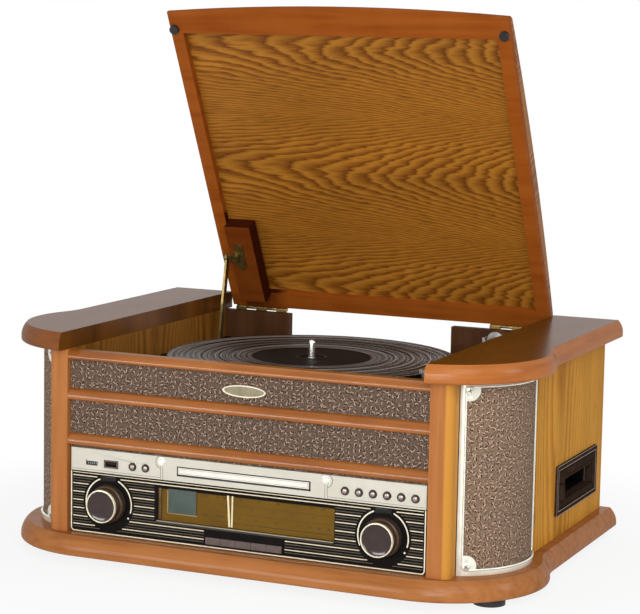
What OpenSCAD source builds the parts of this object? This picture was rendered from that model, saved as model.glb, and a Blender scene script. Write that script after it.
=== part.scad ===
// Retro wooden music center: turntable under a lid, radio, CD tray, cassette slot and two
// corner speakers. Millimetres, +Z up, front faces -Y, drawn with the lid open on its stay.

/* [Cabinet] */
// Width between the two front columns
opening_w = 390; // [388:1:394]
// Width of a front column
column_w = 22.5; // [20:0.5:24]
// Depth of a front column
column_d = 18; // [17:0.5:20]
// Radius on the outer front edge of a column
column_round = 8; // [4:0.5:12]
// Width of the space for a loudspeaker, from column to side panel
speaker_w = 37.5; // [36:0.5:40]
// Radius of the rounded speaker fronts
speaker_r = 78; // [76:0.5:80]
// How far the speaker fronts bulge past the side panels
speaker_bulge = 11; // [9:0.5:12]
// How far the line of the speaker fronts lies behind the front of the plinth
speaker_set = 32; // [31:0.5:34]
// Depth of plinth and top caps, front to back
base_d = 394; // [388:1:410]
// Radius of the front corners of plinth and caps
corner_r = 106.5; // [104:0.5:109]
// How far the corners of plinth and caps reach past the side panels
corner_lip = 29.5; // [28:0.5:31]
// How far the straight sides of plinth and caps reach past the side panels
side_lip = 17.5; // [16:0.5:20]
// Radius of the hollow step between rounded corner and straight side
step_r = 80; // [60:1:100]
// Height of the rubber feet
foot_h = 9; // [4:0.5:12]
// Radius of the rubber feet
foot_r = 15.5; // [10:0.5:16]
// Thickness of the plinth
plinth_t = 20; // [19:0.5:30]
// Height from plinth top to the underside of the top caps
body_h = 187; // [185:1:200]
// Thickness of the top caps
cap_t = 18.5; // [15:0.5:24]
// Height and depth of the curve on the upper edge of the caps
cap_rise = 13; // [8:0.5:14]
cap_inset = 5.7; // [4:0.1:8]
// Height and depth of the curve on the upper edge of the plinth
plinth_rise = 16; // [10:0.5:16.5]
plinth_inset = 7.8; // [5:0.1:9]
// Radius on the lower edge of plinth and caps
under_round = 2.5; // [1:0.1:3]
// How far the columns stand behind the front of the plinth
column_set = 19; // [18:0.5:20]
// Thickness of the side, inner and back boards
board_t = 10; // [8:0.5:12]
// Thickness of the board behind the cloth and the fascia
front_board_t = 6; // [4:0.5:7]
// How far cloth and front board stand behind the column faces
front_recess = 7; // [6:0.25:9]

/* [Front rails] */
// Height of the middle and lower half-round rails
rail_h = 12.5; // [10:0.5:14]
// Height of the top half-round rail
top_rail_h = 10.5; // [8:0.5:13]
// Middle of the middle rail above the plinth
rail_2_z = 141; // [136:0.5:144]
// Middle of the lower rail above the plinth
rail_3_z = 95.3; // [95.3:0.1:97]
// Thickness of the woven speaker cloth
cloth_t = 1; // [0.6:0.1:1.4]
// Width of the oval badge plate
badge_w = 46.5; // [30:0.5:60]
// Height of the oval badge plate
badge_h = 12; // [8:0.5:16]

/* [Fascia] */
// Height of the whole fascia
fascia_h = 87; // [84:0.5:88]
// Height of the silver strip along its top
strip_h = 23.4; // [22:0.2:24]
// Thickness of the fascia plates
fascia_t = 3; // [2:0.25:3.5]
// Play between fascia and columns
fascia_gap = 2.6; // [1:0.1:4]
// Distance of each knob from its end of the fascia
knob_in = 43.4; // [40:0.1:48]
// Height of the knob axes above the plinth
knob_z = 33; // [28:0.5:34]
// Radius of the knob body
knob_r = 16.2; // [12:0.1:18]
// How far the knobs stand out of the fascia
knob_l = 20; // [14:0.5:22]
// Width of the dial window
window_w = 192; // [180:1:200]
// Height of the dial window
window_h = 33; // [28:0.5:34]
// Bottom of the dial window above the plinth
window_z = 22.3; // [21.5:0.1:24]
// Width of the display
display_w = 34; // [24:0.5:40]
// Width of a function key
key_w = 16.6; // [14:0.1:18]
// Height of a function key
key_h = 7; // [6:0.1:8]
// How far the keys stand out of the fascia
key_proud = 2; // [1.5:0.1:4]
// Radius of a round push button
button_r = 4.2; // [3:0.1:4.6]
// Distance between the round buttons on the right
button_pitch = 14.46; // [12:0.1:15]
// Travel of a push button
button_travel = 1.2; // [0.8:0.1:1.5]

/* [CD tray] */
// Width of the tray front
tray_w = 142; // [138:0.5:146]
// Height of the tray front
tray_h = 6.8; // [6.4:0.1:8]
// Gap round the tray front
tray_gap = 1.1; // [0.3:0.1:1.5]
// Depth of the tray
tray_d = 165; // [160:1:168]

/* [Cassette slot] */
// Length of the cassette bezel
bezel_w = 139; // [132:0.5:144]
// Height of the cassette bezel
bezel_h = 52; // [48:0.5:58]
// Length of the cassette opening
slot_w = 103; // [102:0.5:108]
// Height of the cassette opening
slot_h = 22; // [18:0.5:26]

/* [Turntable] */
// Height of the deck surface above the plinth
deck_h = 155; // [150:0.5:156]
// Thickness of the deck plate
deck_t = 3; // [2:0.25:4]
// Distance of the spindle from the front of the plinth
spindle_d = 185; // [184.5:0.5:190]
// Radius of the platter under its mat
platter_r = 146; // [140:0.5:148]
// Height of the platter
platter_h = 13; // [11:0.5:14]
// Radius of the ribbed mat, the size of a 12 inch record
mat_r = 150.8; // [149:0.1:151]
// Thickness of the mat under its ribs
mat_t = 1.6; // [1.2:0.1:2]
// Height of the ribs on the mat
rib_h = 0.6; // [0.3:0.1:1]
// Distance from rib to rib
rib_pitch = 9; // [6:0.5:12]
// Radius of the platter's inner drive ring
drive_ring_r = 63; // [55:0.5:66]
// Radius of the motor pulley
pulley_r = 6; // [4:0.25:7]
// Distance between spindle and motor shaft
belt_span = 80; // [78:0.5:82]
// Distance of the tonearm pivot to the right of the spindle
arm_x = 154; // [152:0.5:157]
// Distance of the tonearm pivot behind the spindle
arm_y = 120; // [116:0.5:124]
// Length from tonearm pivot to stylus
arm_l = 211; // [206:0.5:214]
// Radius of the tonearm tube
arm_r = 3.5; // [2.5:0.1:4.5]
// Height of the tonearm above the deck
arm_h = 29; // [28:0.25:31]

/* [Lid] */
// Gap between the lid and the inner boards on each side
lid_gap = 3; // [2:0.25:6]
// How far the ends of the lid's front edge stand behind the front of the plinth
lid_set = 13; // [11:0.5:18]
// How far the front edge bows out in the middle
lid_bow = 7.5; // [4:0.5:8]
// Thickness of the lid frame under the panel
lid_frame_t = 8; // [6:0.25:10]
// Thickness of the whole lid along its front and back edges
lid_edge_t = 12; // [11:0.25:14]
// Rise of the lid's crowned top above its edges
lid_crown = 9; // [4:0.5:12]
// Angle at which the stay holds the lid open
lid_open = 62.6; // [60:0.1:65]
// Gap under the closed lid, over the underside of the caps
lid_lift = 4; // [3.5:0.1:5]
// Width of the frame along the sides of the lid
lid_side_rail = 14; // [12:0.5:20]
// Width of the frame along the front of the lid
lid_front_rail = 25; // [22:0.5:35]
// Width of the frame along the back of the lid
lid_back_rail = 20; // [16:0.5:26]
// Width of a hinge
hinge_w = 64; // [50:1:80]
// Distance of each hinge's middle from its end of the lid
hinge_in = 37; // [35:0.5:46]
// Radius of the hinge knuckles
hinge_r = 2; // [1.6:0.1:2]
// Radius of the hinge pins
hinge_pin_r = 1; // [0.8:0.05:1.2]
// Radius of the lid bumpers
bumper_r = 5; // [3:0.25:6]
// Width of the block that carries the stay
block_w = 31; // [26:0.5:36]
// Length of the block that carries the stay
block_l = 100; // [90:1:104]
// Thickness of the block that carries the stay
block_t = 17; // [12:0.5:17]
// Width of the stay arm
stay_w = 7; // [5:0.25:9]
// Thickness of the stay arm
stay_t = 2.5; // [1.5:0.1:3]
// Length of the stay arm below its pivot
stay_l = 152; // [148:1:156]

/* [Hidden] */
$fn = 64;
eps = 0.01;
play = 0.3;
run = 0.05;

// Heights
floor_z = foot_h + plinth_t;
cap_z = floor_z + body_h;
deck_z = floor_z + deck_h;
lid_z = cap_z + lid_lift;
board_top_z = cap_z - 0.5;

// The hinge axis lies behind and below the lid's back lower edge
hinge_back = 3;
hinge_drop = 2;
hinge_z = lid_z - hinge_drop;

// The part is centred on the space that it takes with the lid open
open_d = base_d - hinge_back + (lid_edge_t + hinge_drop) * sin(lid_open) - cos(lid_open);
front_y = -open_d / 2;
hinge_y = front_y + base_d - hinge_back;
back_y = front_y + base_d - 6;
lid_back_y = hinge_y - 1;

// Widths, from the middle outwards
inner_x = opening_w / 2;
column_x = inner_x + column_w;
body_x = column_x + speaker_w;
lid_w = opening_w - 2 * lid_gap;
lid_d = base_d - hinge_back - 1 - lid_set;

// Plan of the rounded corners
corner_x = body_x + corner_lip - corner_r;
corner_y = front_y + corner_r;
side_x = body_x + side_lip;
step_x = side_x + step_r;
step_y = corner_y + sqrt(pow(corner_r + step_r, 2) - pow(step_x - corner_x, 2));
step_a = atan2(step_y - corner_y, step_x - corner_x);
corner_lap = 0.5;
foot_x = side_x - 28.5;
foot_y = [front_y + 61.5, front_y + base_d - 30];

// Front and inner boards
column_y = front_y + column_set;
front_board_y = column_y + front_recess;
front_back_y = front_board_y + front_board_t;
back_front_y = back_y - board_t;
inner_front_y = column_y + column_d;
fascia_y = front_board_y - fascia_t;
fascia_x = inner_x - fascia_gap;
knob_x = fascia_x - knob_in;
board_open_x = fascia_x - 5;
board_open_z = [floor_z + 8, floor_z + fascia_h - 6];
strip_z = floor_z + fascia_h - strip_h;
panel_z = floor_z + 1.5;
rail_1_z = board_top_z - floor_z - top_rail_h / 2;

// Speaker corner: the arc from column to side panel
speaker_x = body_x + speaker_bulge - speaker_r;
speaker_y = front_y + speaker_set + speaker_r;
speaker_a1 = -acos((column_x + 0.5 - speaker_x) / speaker_r);
speaker_a2 = acos((body_x - 1 - speaker_x) / speaker_r);
side_front_y = speaker_y + speaker_r * sin(speaker_a2) + 1;
groove_w = 8;
groove_d = 4;
frame_t = 1.2;
frame_bar = 5.5;
frame_tab = 10.5;
screw_in = 9;
screw_z = [floor_z + screw_in, cap_z - screw_in];
screw_r = 1.5;
baffle_a = (speaker_a1 + speaker_a2) / 2;
baffle_t = 9;
baffle_front = speaker_r - 26;
driver_r = 38;
magnet_r = 20;
cone_r = 31;

// Controls
button_z = floor_z + 73.2;
left_button_x = [70.3 - fascia_x, 85 - fascia_x];
right_button_x = fascia_x - 11.2 - 5 * button_pitch;
usb_x = 46 - fascia_x;
switch_l = 3.6;
pot_l = 8;
window_x = 2.5;
display_x = -66.5;
pointer_x = -14;
key_z = panel_z + 3;
key_travel = 2.5;
key_row = 5 * key_w;
key_tab = 2;
key_frame = 2;
key_switch_z = key_z + key_h + 2.6;
dome_x = 89.2;
dome_z = floor_z + 81.2;
dome_r = 3.8;
dome_sunk = 1;
dome_flange = 0.6;
tray_z = floor_z + 70.8;
drive_wall = 2;
control_d = 12;
control_y = front_board_y + control_d;
drive_y = control_y + 6;
drive_d = tray_d + 9;
pcb_t = 1.6;
cover_y = fascia_y + 0.4;
cover_t = 1;
scale_y = fascia_y + fascia_t + play;
scale_top = floor_z + window_z + window_h - 1.6;
blade_y = [cover_y + cover_t + 0.5, cover_y + cover_t + 1.1];

// Cassette bay
bezel_y = back_y - 94.5;
bezel_z = floor_z + 48.5;
bezel_proud = 2.5;
reel_y = 21.25;
slot_y = bezel_y + 9.5;
eject_y = bezel_y - 54;
eject_travel = 3;
slot_z = floor_z + 46;

// Turntable
spindle_y = front_y + spindle_d;
spindle_r = 3.3;
platter_gap = 3;
platter_z = deck_z + platter_gap;
mat_z = platter_z + platter_h + 0.2;
record_t = 1.8;
stylus_z = mat_z + mat_t + rib_h + record_t + 0.8;
pulley_x = -belt_span * 0.6;
pulley_y = spindle_y + belt_span * 0.8;
belt_t = 0.9;
belt_h = 4;
belt_z = platter_z + 2.5;
pivot_y = spindle_y + arm_y;
arm_z = deck_z + arm_h;
arm_a = 3;
cue_x = arm_x + 16;
cue_y = pivot_y - 26;
cue_z = deck_z + 4;
bearing_l = 20;
socket_r = 6.8;
switch_x = inner_x - 34;
switch_y = front_y + 62;

// Sockets in the back board
socket_x = [85 - inner_x, 185 - inner_x];
socket_z = [floor_z + 30, floor_z + 62];

// Lid: bow of its front edge and crown of its top
lid_front_y = lid_back_y - lid_d;
bow_r = (lid_w * lid_w / 4 + lid_bow * lid_bow) / (2 * lid_bow);
crown_r = (lid_d * lid_d / 4 + lid_crown * lid_crown) / (2 * lid_crown);
bow_inner_r = bow_r - lid_d - 20;

// Hinges: five knuckles each
hinge_x = lid_w / 2 - hinge_in;
knuckles = 5;
knuckle_w = hinge_w / knuckles;
knuckle_gap = 0.15;

// Stay of the lid, in the plane of the lid's left side
stay_x = -(lid_w / 2 - 18.9);
stay_s = 78.6;
stay_lean = 9.9;
pin_r = 2;
pin_drop = 3.7;
stay_slot_y = hinge_y - 76;
block_x = stay_x + 1.2;
block_gap = 18;
pivot_reach = lid_back_y - stay_s - hinge_y;
pivot_fall = lid_z - block_t - pin_drop - hinge_z;
pivot_rest = [
  hinge_y + pivot_reach * cos(lid_open) + pivot_fall * sin(lid_open),
  hinge_z - pivot_reach * sin(lid_open) + pivot_fall * cos(lid_open)];

function arc(c, r, a0, a1, n = 6) =
  [for (i = [0:n]) let (a = a0 + (a1 - a0) * i / n) [c[0] + r * cos(a), c[1] + r * sin(a)]];

// Section of a slab: flat at x = 0, its edge at x = w. The edge curves in towards the top, over a
// height and a depth, and breaks there into the flat
function edge_points(w, t, rise, inset) =
  let (r = (rise * rise + inset * inset) / (2 * inset))
  concat([[0, 0]], arc([w - under_round, under_round], under_round, -90, 0, 4),
         arc([w - r, t - rise], r, 0, asin(rise / r), 6), [[0, t]]);

// Extrudes a section drawn in (y, z) along x
module along_x(l) { rotate([90, 0, 90]) linear_extrude(l) children(); }

// Extrudes a section drawn in (x, z) along y
module along_y(l) { translate([0, l, 0]) rotate([90, 0, 0]) linear_extrude(l) children(); }

// A round bar along x, starting at the origin
module rod_x(r, l) { rotate([0, 90, 0]) cylinder(r = r, h = l); }

// A round bar along y, starting at the origin
module rod_y(r, l) { rotate([-90, 0, 0]) cylinder(r = r, h = l); }

module both_sides() {
  children();
  mirror([1, 0, 0]) children();
}

// A box from corner to corner
module block(a, b) { translate(a) cube([b[0] - a[0], b[1] - a[1], b[2] - a[2]]); }

module rounded_plate(w, h, r) {
  polygon(concat(
    arc([w / 2 - r, h / 2 - r], r, 0, 90), arc([r - w / 2, h / 2 - r], r, 90, 180),
    arc([r - w / 2, r - h / 2], r, 180, 270), arc([w / 2 - r, r - h / 2], r, 270, 360)));
}

// Right half of the plinth or of the caps: front bar, round corner, hollow step, straight side
module slab_half(t, rise, inset) {
  ring = 30;
  core = ring - 3;
  translate([0, corner_y, 0]) mirror([0, 1, 0]) along_x(corner_x)
    polygon(edge_points(corner_r, t, rise, inset));
  translate([corner_x, corner_y, 0]) rotate([0, 0, -90])
    rotate_extrude(angle = 90 + step_a + corner_lap, $fn = 128)
      polygon(edge_points(corner_r, t, rise, inset));
  translate([step_x, step_y, 0]) rotate([0, 0, 180]) rotate_extrude(angle = step_a, $fn = 128)
    polygon([for (p = edge_points(ring, t, rise, inset)) [step_r + ring - p[0], p[1]]]);
  translate([0, step_y, 0]) along_y(front_y + base_d - step_y)
    polygon(edge_points(side_x, t, rise, inset));
  linear_extrude(t) polygon([
    [0, corner_y - 1], [corner_x, corner_y - 1],
    [corner_x + (corner_r - core) * cos(step_a), corner_y + (corner_r - core) * sin(step_a)],
    [side_x - core, step_y + 1], [0, step_y + 1]]);
}

module plinth() {
  color("#a8672f") translate([0, 0, foot_h]) both_sides() slab_half(plinth_t, plinth_rise, plinth_inset);
}

module feet() {
  color("#161514") both_sides() for (y = foot_y) translate([foot_x, y, 0]) difference() {
    cylinder(r = foot_r, h = foot_h);
    translate([0, 0, -eps]) cylinder(r = foot_r * 0.35, h = 1.5);
  }
}

module top_cap() {
  translate([0, 0, cap_z]) intersection() {
    slab_half(cap_t, cap_rise, cap_inset);
    translate([inner_x, front_y - 1, -1]) cube([corner_x + corner_r, base_d + 2, cap_t + 2]);
  }
}

module top_cap_left() { color("#8f552a") mirror([1, 0, 0]) top_cap(); }
module top_cap_right() { color("#8f552a") top_cap(); }

// Side board with a shadow groove along its front edge
module side_board() {
  difference() {
    block([body_x - board_t, side_front_y, floor_z], [body_x, back_y, cap_z]);
    block([body_x - groove_d, side_front_y - 1, floor_z - 1],
          [body_x + 1, side_front_y + groove_w, cap_z + 1]);
  }
}

module side_panel_left() { color("#b98238") mirror([1, 0, 0]) side_board(); }

module side_panel_right() {
  color("#b98238") difference() {
    side_board();
    translate([0, bezel_y, bezel_z])
      block([body_x - board_t - 1, -bezel_w / 2 + 4, -bezel_h / 2 + 4],
            [body_x + 1, bezel_w / 2 - 4, bezel_h / 2 - 4]);
  }
}

// Walls and front board of the case, with the boards that carry the loudspeakers
module inner_boards() {
  color("#b07a35") {
    speaker_baffles();
    both_sides() block([inner_x, inner_front_y, floor_z], [inner_x + board_t, back_front_y, cap_z]);
    difference() {
      block([-inner_x, front_board_y, floor_z], [inner_x, front_back_y, board_top_z]);
      block([-board_open_x, front_board_y - 1, board_open_z[0]],
            [board_open_x, front_back_y + 1, board_open_z[1]]);
      translate([window_x, 0, 0]) block([-key_row / 2 - 1, front_board_y - 1, key_z - 0.5],
                                        [key_row / 2 + 1, front_back_y + 1, board_open_z[0] + 1]);
    }
  }
}

module columns() {
  color("#b5703c") both_sides() translate([0, 0, floor_z]) linear_extrude(body_h) polygon(concat(
    [[inner_x, column_y]],
    arc([column_x - column_round, column_y + column_round], column_round, -90, 0),
    [[column_x, column_y + column_d], [inner_x, column_y + column_d]]));
}

// Half-round bar between the columns; z is its middle above the plinth
module rail(z, h) {
  translate([-inner_x, front_board_y, floor_z + z]) along_x(opening_w)
    polygon(concat([[0, h / 2]], arc([0, 0], 1, 90, 270, 12) * [[front_recess, 0], [0, h / 2]],
                   [[0, -h / 2]]));
}

module front_rails() {
  color("#bd7640") {
    rail(rail_1_z, top_rail_h);
    rail(rail_2_z, rail_h);
    rail(rail_3_z, rail_h);
  }
}

module cloth_panels() {
  color("#7c6558") {
    for (z = [[rail_3_z + rail_h / 2, rail_2_z - rail_h / 2],
              [rail_2_z + rail_h / 2, rail_1_z - top_rail_h / 2]])
      block([-inner_x, front_board_y - cloth_t, floor_z + z[0]],
            [inner_x, front_board_y, floor_z + z[1]]);
    both_sides() speaker_arc(speaker_r - frame_t - play - cloth_t, speaker_r - frame_t - play, 0,
                             floor_z, cap_z);
  }
}

// Wall of a rounded speaker front, from r1 to r2, with both ends drawn in by a length
module speaker_arc(r1, r2, inset, z1, z2) {
  turn = inset / speaker_r * 180 / PI;
  difference() {
    translate([speaker_x, speaker_y, z1]) rotate([0, 0, speaker_a1 + turn])
      rotate_extrude(angle = speaker_a2 - speaker_a1 - 2 * turn, $fn = 128)
        translate([r1, 0]) square([r2 - r1, z2 - z1]);
    block([column_x - 5, column_y, z1 - 1], [column_x + play, inner_front_y + 1, z2 + 1]);
  }
}

// Places children on the speaker front near a corner: end is -1 at the column, 1 at the side
module at_frame_corner(end, z, from_edge) {
  turn = from_edge / speaker_r * 180 / PI;
  a = end < 0 ? speaker_a1 + turn : speaker_a2 - turn;
  translate([speaker_x, speaker_y, z]) rotate([0, 0, a]) rotate([0, 90, 0]) children();
}

module speaker_frames() {
  color("#d8cfb4") both_sides() difference() {
    union() {
      difference() {
        speaker_arc(speaker_r - frame_t, speaker_r, 0, floor_z, cap_z);
        speaker_arc(speaker_r - frame_t - 1, speaker_r + 1, frame_bar,
                    floor_z + frame_bar, cap_z - frame_bar);
      }
      for (z = screw_z) intersection() {
        speaker_arc(speaker_r - frame_t, speaker_r, 0, floor_z, cap_z);
        at_frame_corner(-1, z, screw_in) translate([0, 0, speaker_r - 10]) cylinder(r = frame_tab, h = 14);
      }
    }
    for (z = screw_z) at_frame_corner(-1, z, screw_in) translate([0, 0, speaker_r - frame_t - 1])
      cylinder(r = screw_r + run, h = frame_t + 2);
  }
}

// Flat board behind the rounded front; x points out of the cabinet
module at_baffle() { translate([speaker_x, speaker_y, 0]) rotate([0, 0, baffle_a]) children(); }

module speaker_baffles() {
  half = speaker_r * sin((speaker_a2 - speaker_a1) / 2) - 9;
  both_sides() difference() {
    at_baffle() block([baffle_front - baffle_t, -half, floor_z], [baffle_front, half, cap_z - play]);
    at_baffle() translate([baffle_front - baffle_t - 1, 0, floor_z + body_h / 2])
      rod_x(driver_r - 4, baffle_t + 2);
  }
}

module speaker_drivers() {
  color("#222222") both_sides() at_baffle()
    translate([baffle_front, 0, floor_z + body_h / 2]) rotate([0, 90, 0]) rotate_extrude()
      polygon([[0, -26], [magnet_r, -26], [magnet_r, -18], [driver_r - 5, -8], [driver_r - 5, 0],
               [driver_r, 0], [driver_r, 2], [cone_r + 2, 2], [cone_r, 0.5], [12, -12],
               [9, -9], [5, -7], [0, -6.5]]);
}

module trim_studs() {
  color("#d9d2bc") {
    both_sides() for (z = screw_z) at_frame_corner(-1, z, screw_in) {
      translate([0, 0, speaker_r - frame_t]) cylinder(r = screw_r, h = frame_t + play + eps);
      translate([0, 0, speaker_r + play]) rotate_extrude()
        polygon([[0, 0], [4.6, 0], [4.2, 0.9], [3, 1.5], [1.2, 1.8], [0, 1.8]]);
    }
    for (s = [-1, 1]) translate([s * dome_x, fascia_y, dome_z]) rotate([90, 0, 0]) rotate_extrude()
      polygon(concat([[0, 0], [dome_r + 0.8, 0], [dome_r + 0.8, dome_flange]],
        arc([0, -dome_sunk], dome_r, asin((dome_sunk + dome_flange) / dome_r), 90)));
  }
}

module badge() {
  color("#cfc6a8") translate([0, front_board_y - cloth_t, floor_z + 160]) rotate([90, 0, 0]) {
    linear_extrude(1.2) polygon(arc([0, 0], 1, 0, 360, 48) * [[badge_w / 2, 0], [0, badge_h / 2]]);
    linear_extrude(2) difference() {
      polygon(arc([0, 0], 1, 0, 360, 48) * [[badge_w / 2, 0], [0, badge_h / 2]]);
      polygon(arc([0, 0], 1, 0, 360, 48) * [[badge_w / 2 - 1.2, 0], [0, badge_h / 2 - 1.2]]);
    }
  }
}

module silver_strip() {
  hole_r = button_r + run;
  color("#cfcabd") difference() {
    block([-fascia_x, fascia_y, strip_z], [fascia_x, front_board_y, floor_z + fascia_h]);
    block([-tray_w / 2 - tray_gap, fascia_y - 1, tray_z - tray_gap],
          [tray_w / 2 + tray_gap, front_board_y + 1, tray_z + tray_h + tray_gap]);
    block([usb_x - 6.5, fascia_y - 1, button_z - 2.8], [usb_x + 6.5, front_board_y + 1, button_z + 2.8]);
    for (x = button_places()) translate([x, fascia_y - 1, button_z]) rod_y(hole_r, fascia_t + 2);
  }
}

function button_places() =
  concat(left_button_x, [for (i = [0:5]) right_button_x + i * button_pitch]);

// Round push button with a domed cap, a collar behind the strip and its switch behind that
module push_button(i) {
  color("#8d8a86") translate([button_places()[i - 1], fascia_y, button_z]) {
    rotate([90, 0, 0]) rotate_extrude()
      polygon(concat([[0, -fascia_t - 1.2], [button_r + 1, -fascia_t - 1.2],
                      [button_r + 1, -fascia_t - play], [button_r, -fascia_t - play], [button_r, 1.2]],
                     arc([0, -1.6], 4, 40, 90, 5)));
    translate([0, fascia_t + 1, 0]) rod_y(1.5, control_d - switch_l - button_travel - run - 1);
  }
}

module button_1() { push_button(1); }
module button_2() { push_button(2); }
module button_3() { push_button(3); }
module button_4() { push_button(4); }
module button_5() { push_button(5); }
module button_6() { push_button(6); }
module button_7() { push_button(7); }
module button_8() { push_button(8); }

module dial_panel() {
  color("#1d1613") difference() {
    union() {
      block([-fascia_x, fascia_y, panel_z], [fascia_x, front_board_y, strip_z - 0.1]);
      translate([window_x, 0, 0]) {
        block([-key_row / 2 - key_frame, fascia_y - 1.2, key_z - key_frame],
              [key_row / 2 + key_frame, fascia_y + 1, floor_z + window_z - 1]);
        block([-window_w / 2, fascia_y - 2.2, floor_z + window_z - 2.4],
              [window_w / 2, fascia_y + 1, floor_z + window_z]);
      }
    }
    translate([window_x, 0, floor_z + window_z])
      block([-window_w / 2, fascia_y - 1, 0], [window_w / 2, front_board_y + 1, window_h]);
    for (s = [-1, 1]) translate([s * knob_x, fascia_y - 1, floor_z + knob_z])
      rod_y(3 + run, fascia_t + 2);
    translate([window_x, 0, 0]) block([-key_row / 2 - play, fascia_y - 3, key_z - play],
                                      [key_row / 2 + play, front_board_y + 1, key_z + key_h + play]);
  }
}

module dial_window() {
  color([0.85, 0.8, 0.6, 0.35]) translate([window_x, 0, floor_z + window_z])
    block([-window_w / 2, cover_y, 0], [window_w / 2, cover_y + cover_t, window_h]);
}

// Printed scale plate on four posts against the control board
module dial_scale() {
  color("#7a6230") translate([window_x, 0, 0]) {
    block([-window_w / 2 - 2, scale_y, floor_z + window_z - 2],
          [window_w / 2 + 2, scale_y + 1.2, scale_top]);
    for (x = [-1, 1], z = [floor_z + window_z + 2, scale_top - 4])
      translate([x * (window_w / 2 - 4), scale_y + 1, z]) rod_y(2, control_y - scale_y - 1);
  }
}

module lcd_display() {
  color("#5f6e70") translate([display_x, 0, floor_z + window_z + window_h])
    block([-display_w / 2, blade_y[0], -26], [display_w / 2, scale_y, -play]);
}

// Pointer blade; it bends back over the scale plate to a carrier that runs behind the plate
module dial_pointer() {
  top = floor_z + window_z + window_h - play;
  color("#efe6cc") translate([pointer_x, 0, 0]) {
    block([-0.7, blade_y[0], floor_z + window_z + 1], [0.7, blade_y[1], top]);
    block([-0.7, blade_y[0], scale_top + play], [0.7, scale_y + 1.8, top]);
    block([-4, scale_y + 1.2 + play, scale_top - 5], [4, scale_y + 3, top]);
  }
}

// Knob: flange at the panel, knurled skirt, dished face and shaft
module knob(s) {
  color("#3a2420") translate([s * knob_x, fascia_y, floor_z + knob_z]) {
    rotate([90, 0, 0]) rotate_extrude() polygon([
      [0, 0.3], [knob_r + 2.8, 0.3], [knob_r + 2.8, 2], [knob_r + 1.2, 3], [knob_r + 0.6, knob_l - 4],
      [knob_r, knob_l - 3.2], [knob_r - 0.2, knob_l], [knob_r - 2, knob_l],
      [knob_r - 2.8, knob_l - 1.6], [0, knob_l - 2.6]]);
    translate([0, -1, 0]) rod_y(3, fascia_t + control_d - pot_l + 3);
  }
}

module volume_knob() { knob(-1); }
module tuning_knob() { knob(1); }

module function_key(i) {
  x = window_x + (i - 3) * key_w;
  color("#4a3028") {
    block([x - key_w / 2 + 0.2, fascia_y - key_proud, key_z],
          [x + key_w / 2 - 0.2, front_board_y + key_tab, key_z + key_h]);
    block([x - 5, front_board_y + play, key_z + key_h - 1],
          [x + 5, front_board_y + key_tab, key_z + key_h + 5]);
    translate([x, front_board_y + key_tab - eps, key_switch_z])
      rod_y(1.5, control_d - switch_l - key_travel - key_tab - run);
  }
}

module key_1() { function_key(1); }
module key_2() { function_key(2); }
module key_3() { function_key(3); }
module key_4() { function_key(4); }
module key_5() { function_key(5); }

// Tray: front plate, body with the disc's dish
module cd_tray() {
  body_x = tray_w / 2 - 6;
  dish_y = fascia_y + 70;
  color("#c9c4b6") difference() {
    union() {
      block([-tray_w / 2, fascia_y, tray_z], [tray_w / 2, fascia_y + 3, tray_z + tray_h]);
      block([-body_x, fascia_y + 2, tray_z + 0.5], [body_x, fascia_y + tray_d, tray_z + tray_h - 1.5]);
    }
    translate([0, dish_y, tray_z + tray_h - 3]) cylinder(r = 61, h = 3);
    translate([0, dish_y, tray_z - 1]) cylinder(r = 17, h = tray_h + 2);
  }
}

// Drive housing on its two bracket walls
module cd_drive() {
  hw = tray_w / 2 + 6;
  in_x = tray_w / 2 - 6 + play;
  color("#8b8d90") {
    difference() {
      block([-hw, drive_y, tray_z - 10], [hw, drive_y + drive_d, tray_z + tray_h + 12]);
      block([-in_x, drive_y - 1, tray_z + 0.5 - play],
            [in_x, drive_y + drive_d - drive_wall, tray_z + tray_h + 10]);
    }
    both_sides() {
      block([hw - 2, drive_y, floor_z], [hw, drive_y + drive_d, tray_z - 10]);
      block([hw - 2, drive_y, floor_z], [hw + 12, drive_y + drive_d, floor_z + 2]);
    }
  }
}

module cassette_bezel() {
  out_x = body_x;
  in_x = out_x - board_t;
  color("#5a4c46") difference() {
    union() {
      translate([out_x, bezel_y, bezel_z]) rotate([90, 0, 90]) linear_extrude(bezel_proud)
        rounded_plate(bezel_w, bezel_h, 3);
      translate([0, bezel_y, bezel_z])
        block([in_x, -bezel_w / 2 + 4 + play, -bezel_h / 2 + 4 + play],
              [out_x + 1, bezel_w / 2 - 4 - play, bezel_h / 2 - 4 - play]);
    }
    translate([0, slot_y, slot_z])
      block([in_x - 1, -slot_w / 2, -slot_h / 2], [out_x + bezel_proud + 1, slot_w / 2, slot_h / 2]);
    translate([0, bezel_y, bezel_z])
      block([out_x + 0.5, -bezel_w / 2 + 5, -bezel_h / 2 + 5],
            [out_x + bezel_proud + 1, bezel_w / 2 - 5, bezel_h / 2 - 5]);
    translate([0, eject_y, slot_z])
      block([in_x - 1, -5 - play, -8 - play], [out_x + bezel_proud + 1, 5 + play, 8 + play]);
  }
  color("#5a4c46") {
    translate([0, bezel_y, bezel_z]) bezel_ridge([bezel_w / 2 - 8, bezel_h / 2 - 8], 1.4);
    translate([0, slot_y, slot_z]) bezel_ridge([slot_w / 2 + 2, slot_h / 2 + 2], 1.8);
  }
}

// Raised rectangle on the sunk face of the bezel, 2 mm wide, with its outer half sizes
module bezel_ridge(half, proud) {
  difference() {
    block([body_x + 0.4, -half[0], -half[1]], [body_x + proud, half[0], half[1]]);
    block([body_x, 2 - half[0], 2 - half[1]], [body_x + proud + 1, half[0] - 2, half[1] - 2]);
  }
}

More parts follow.
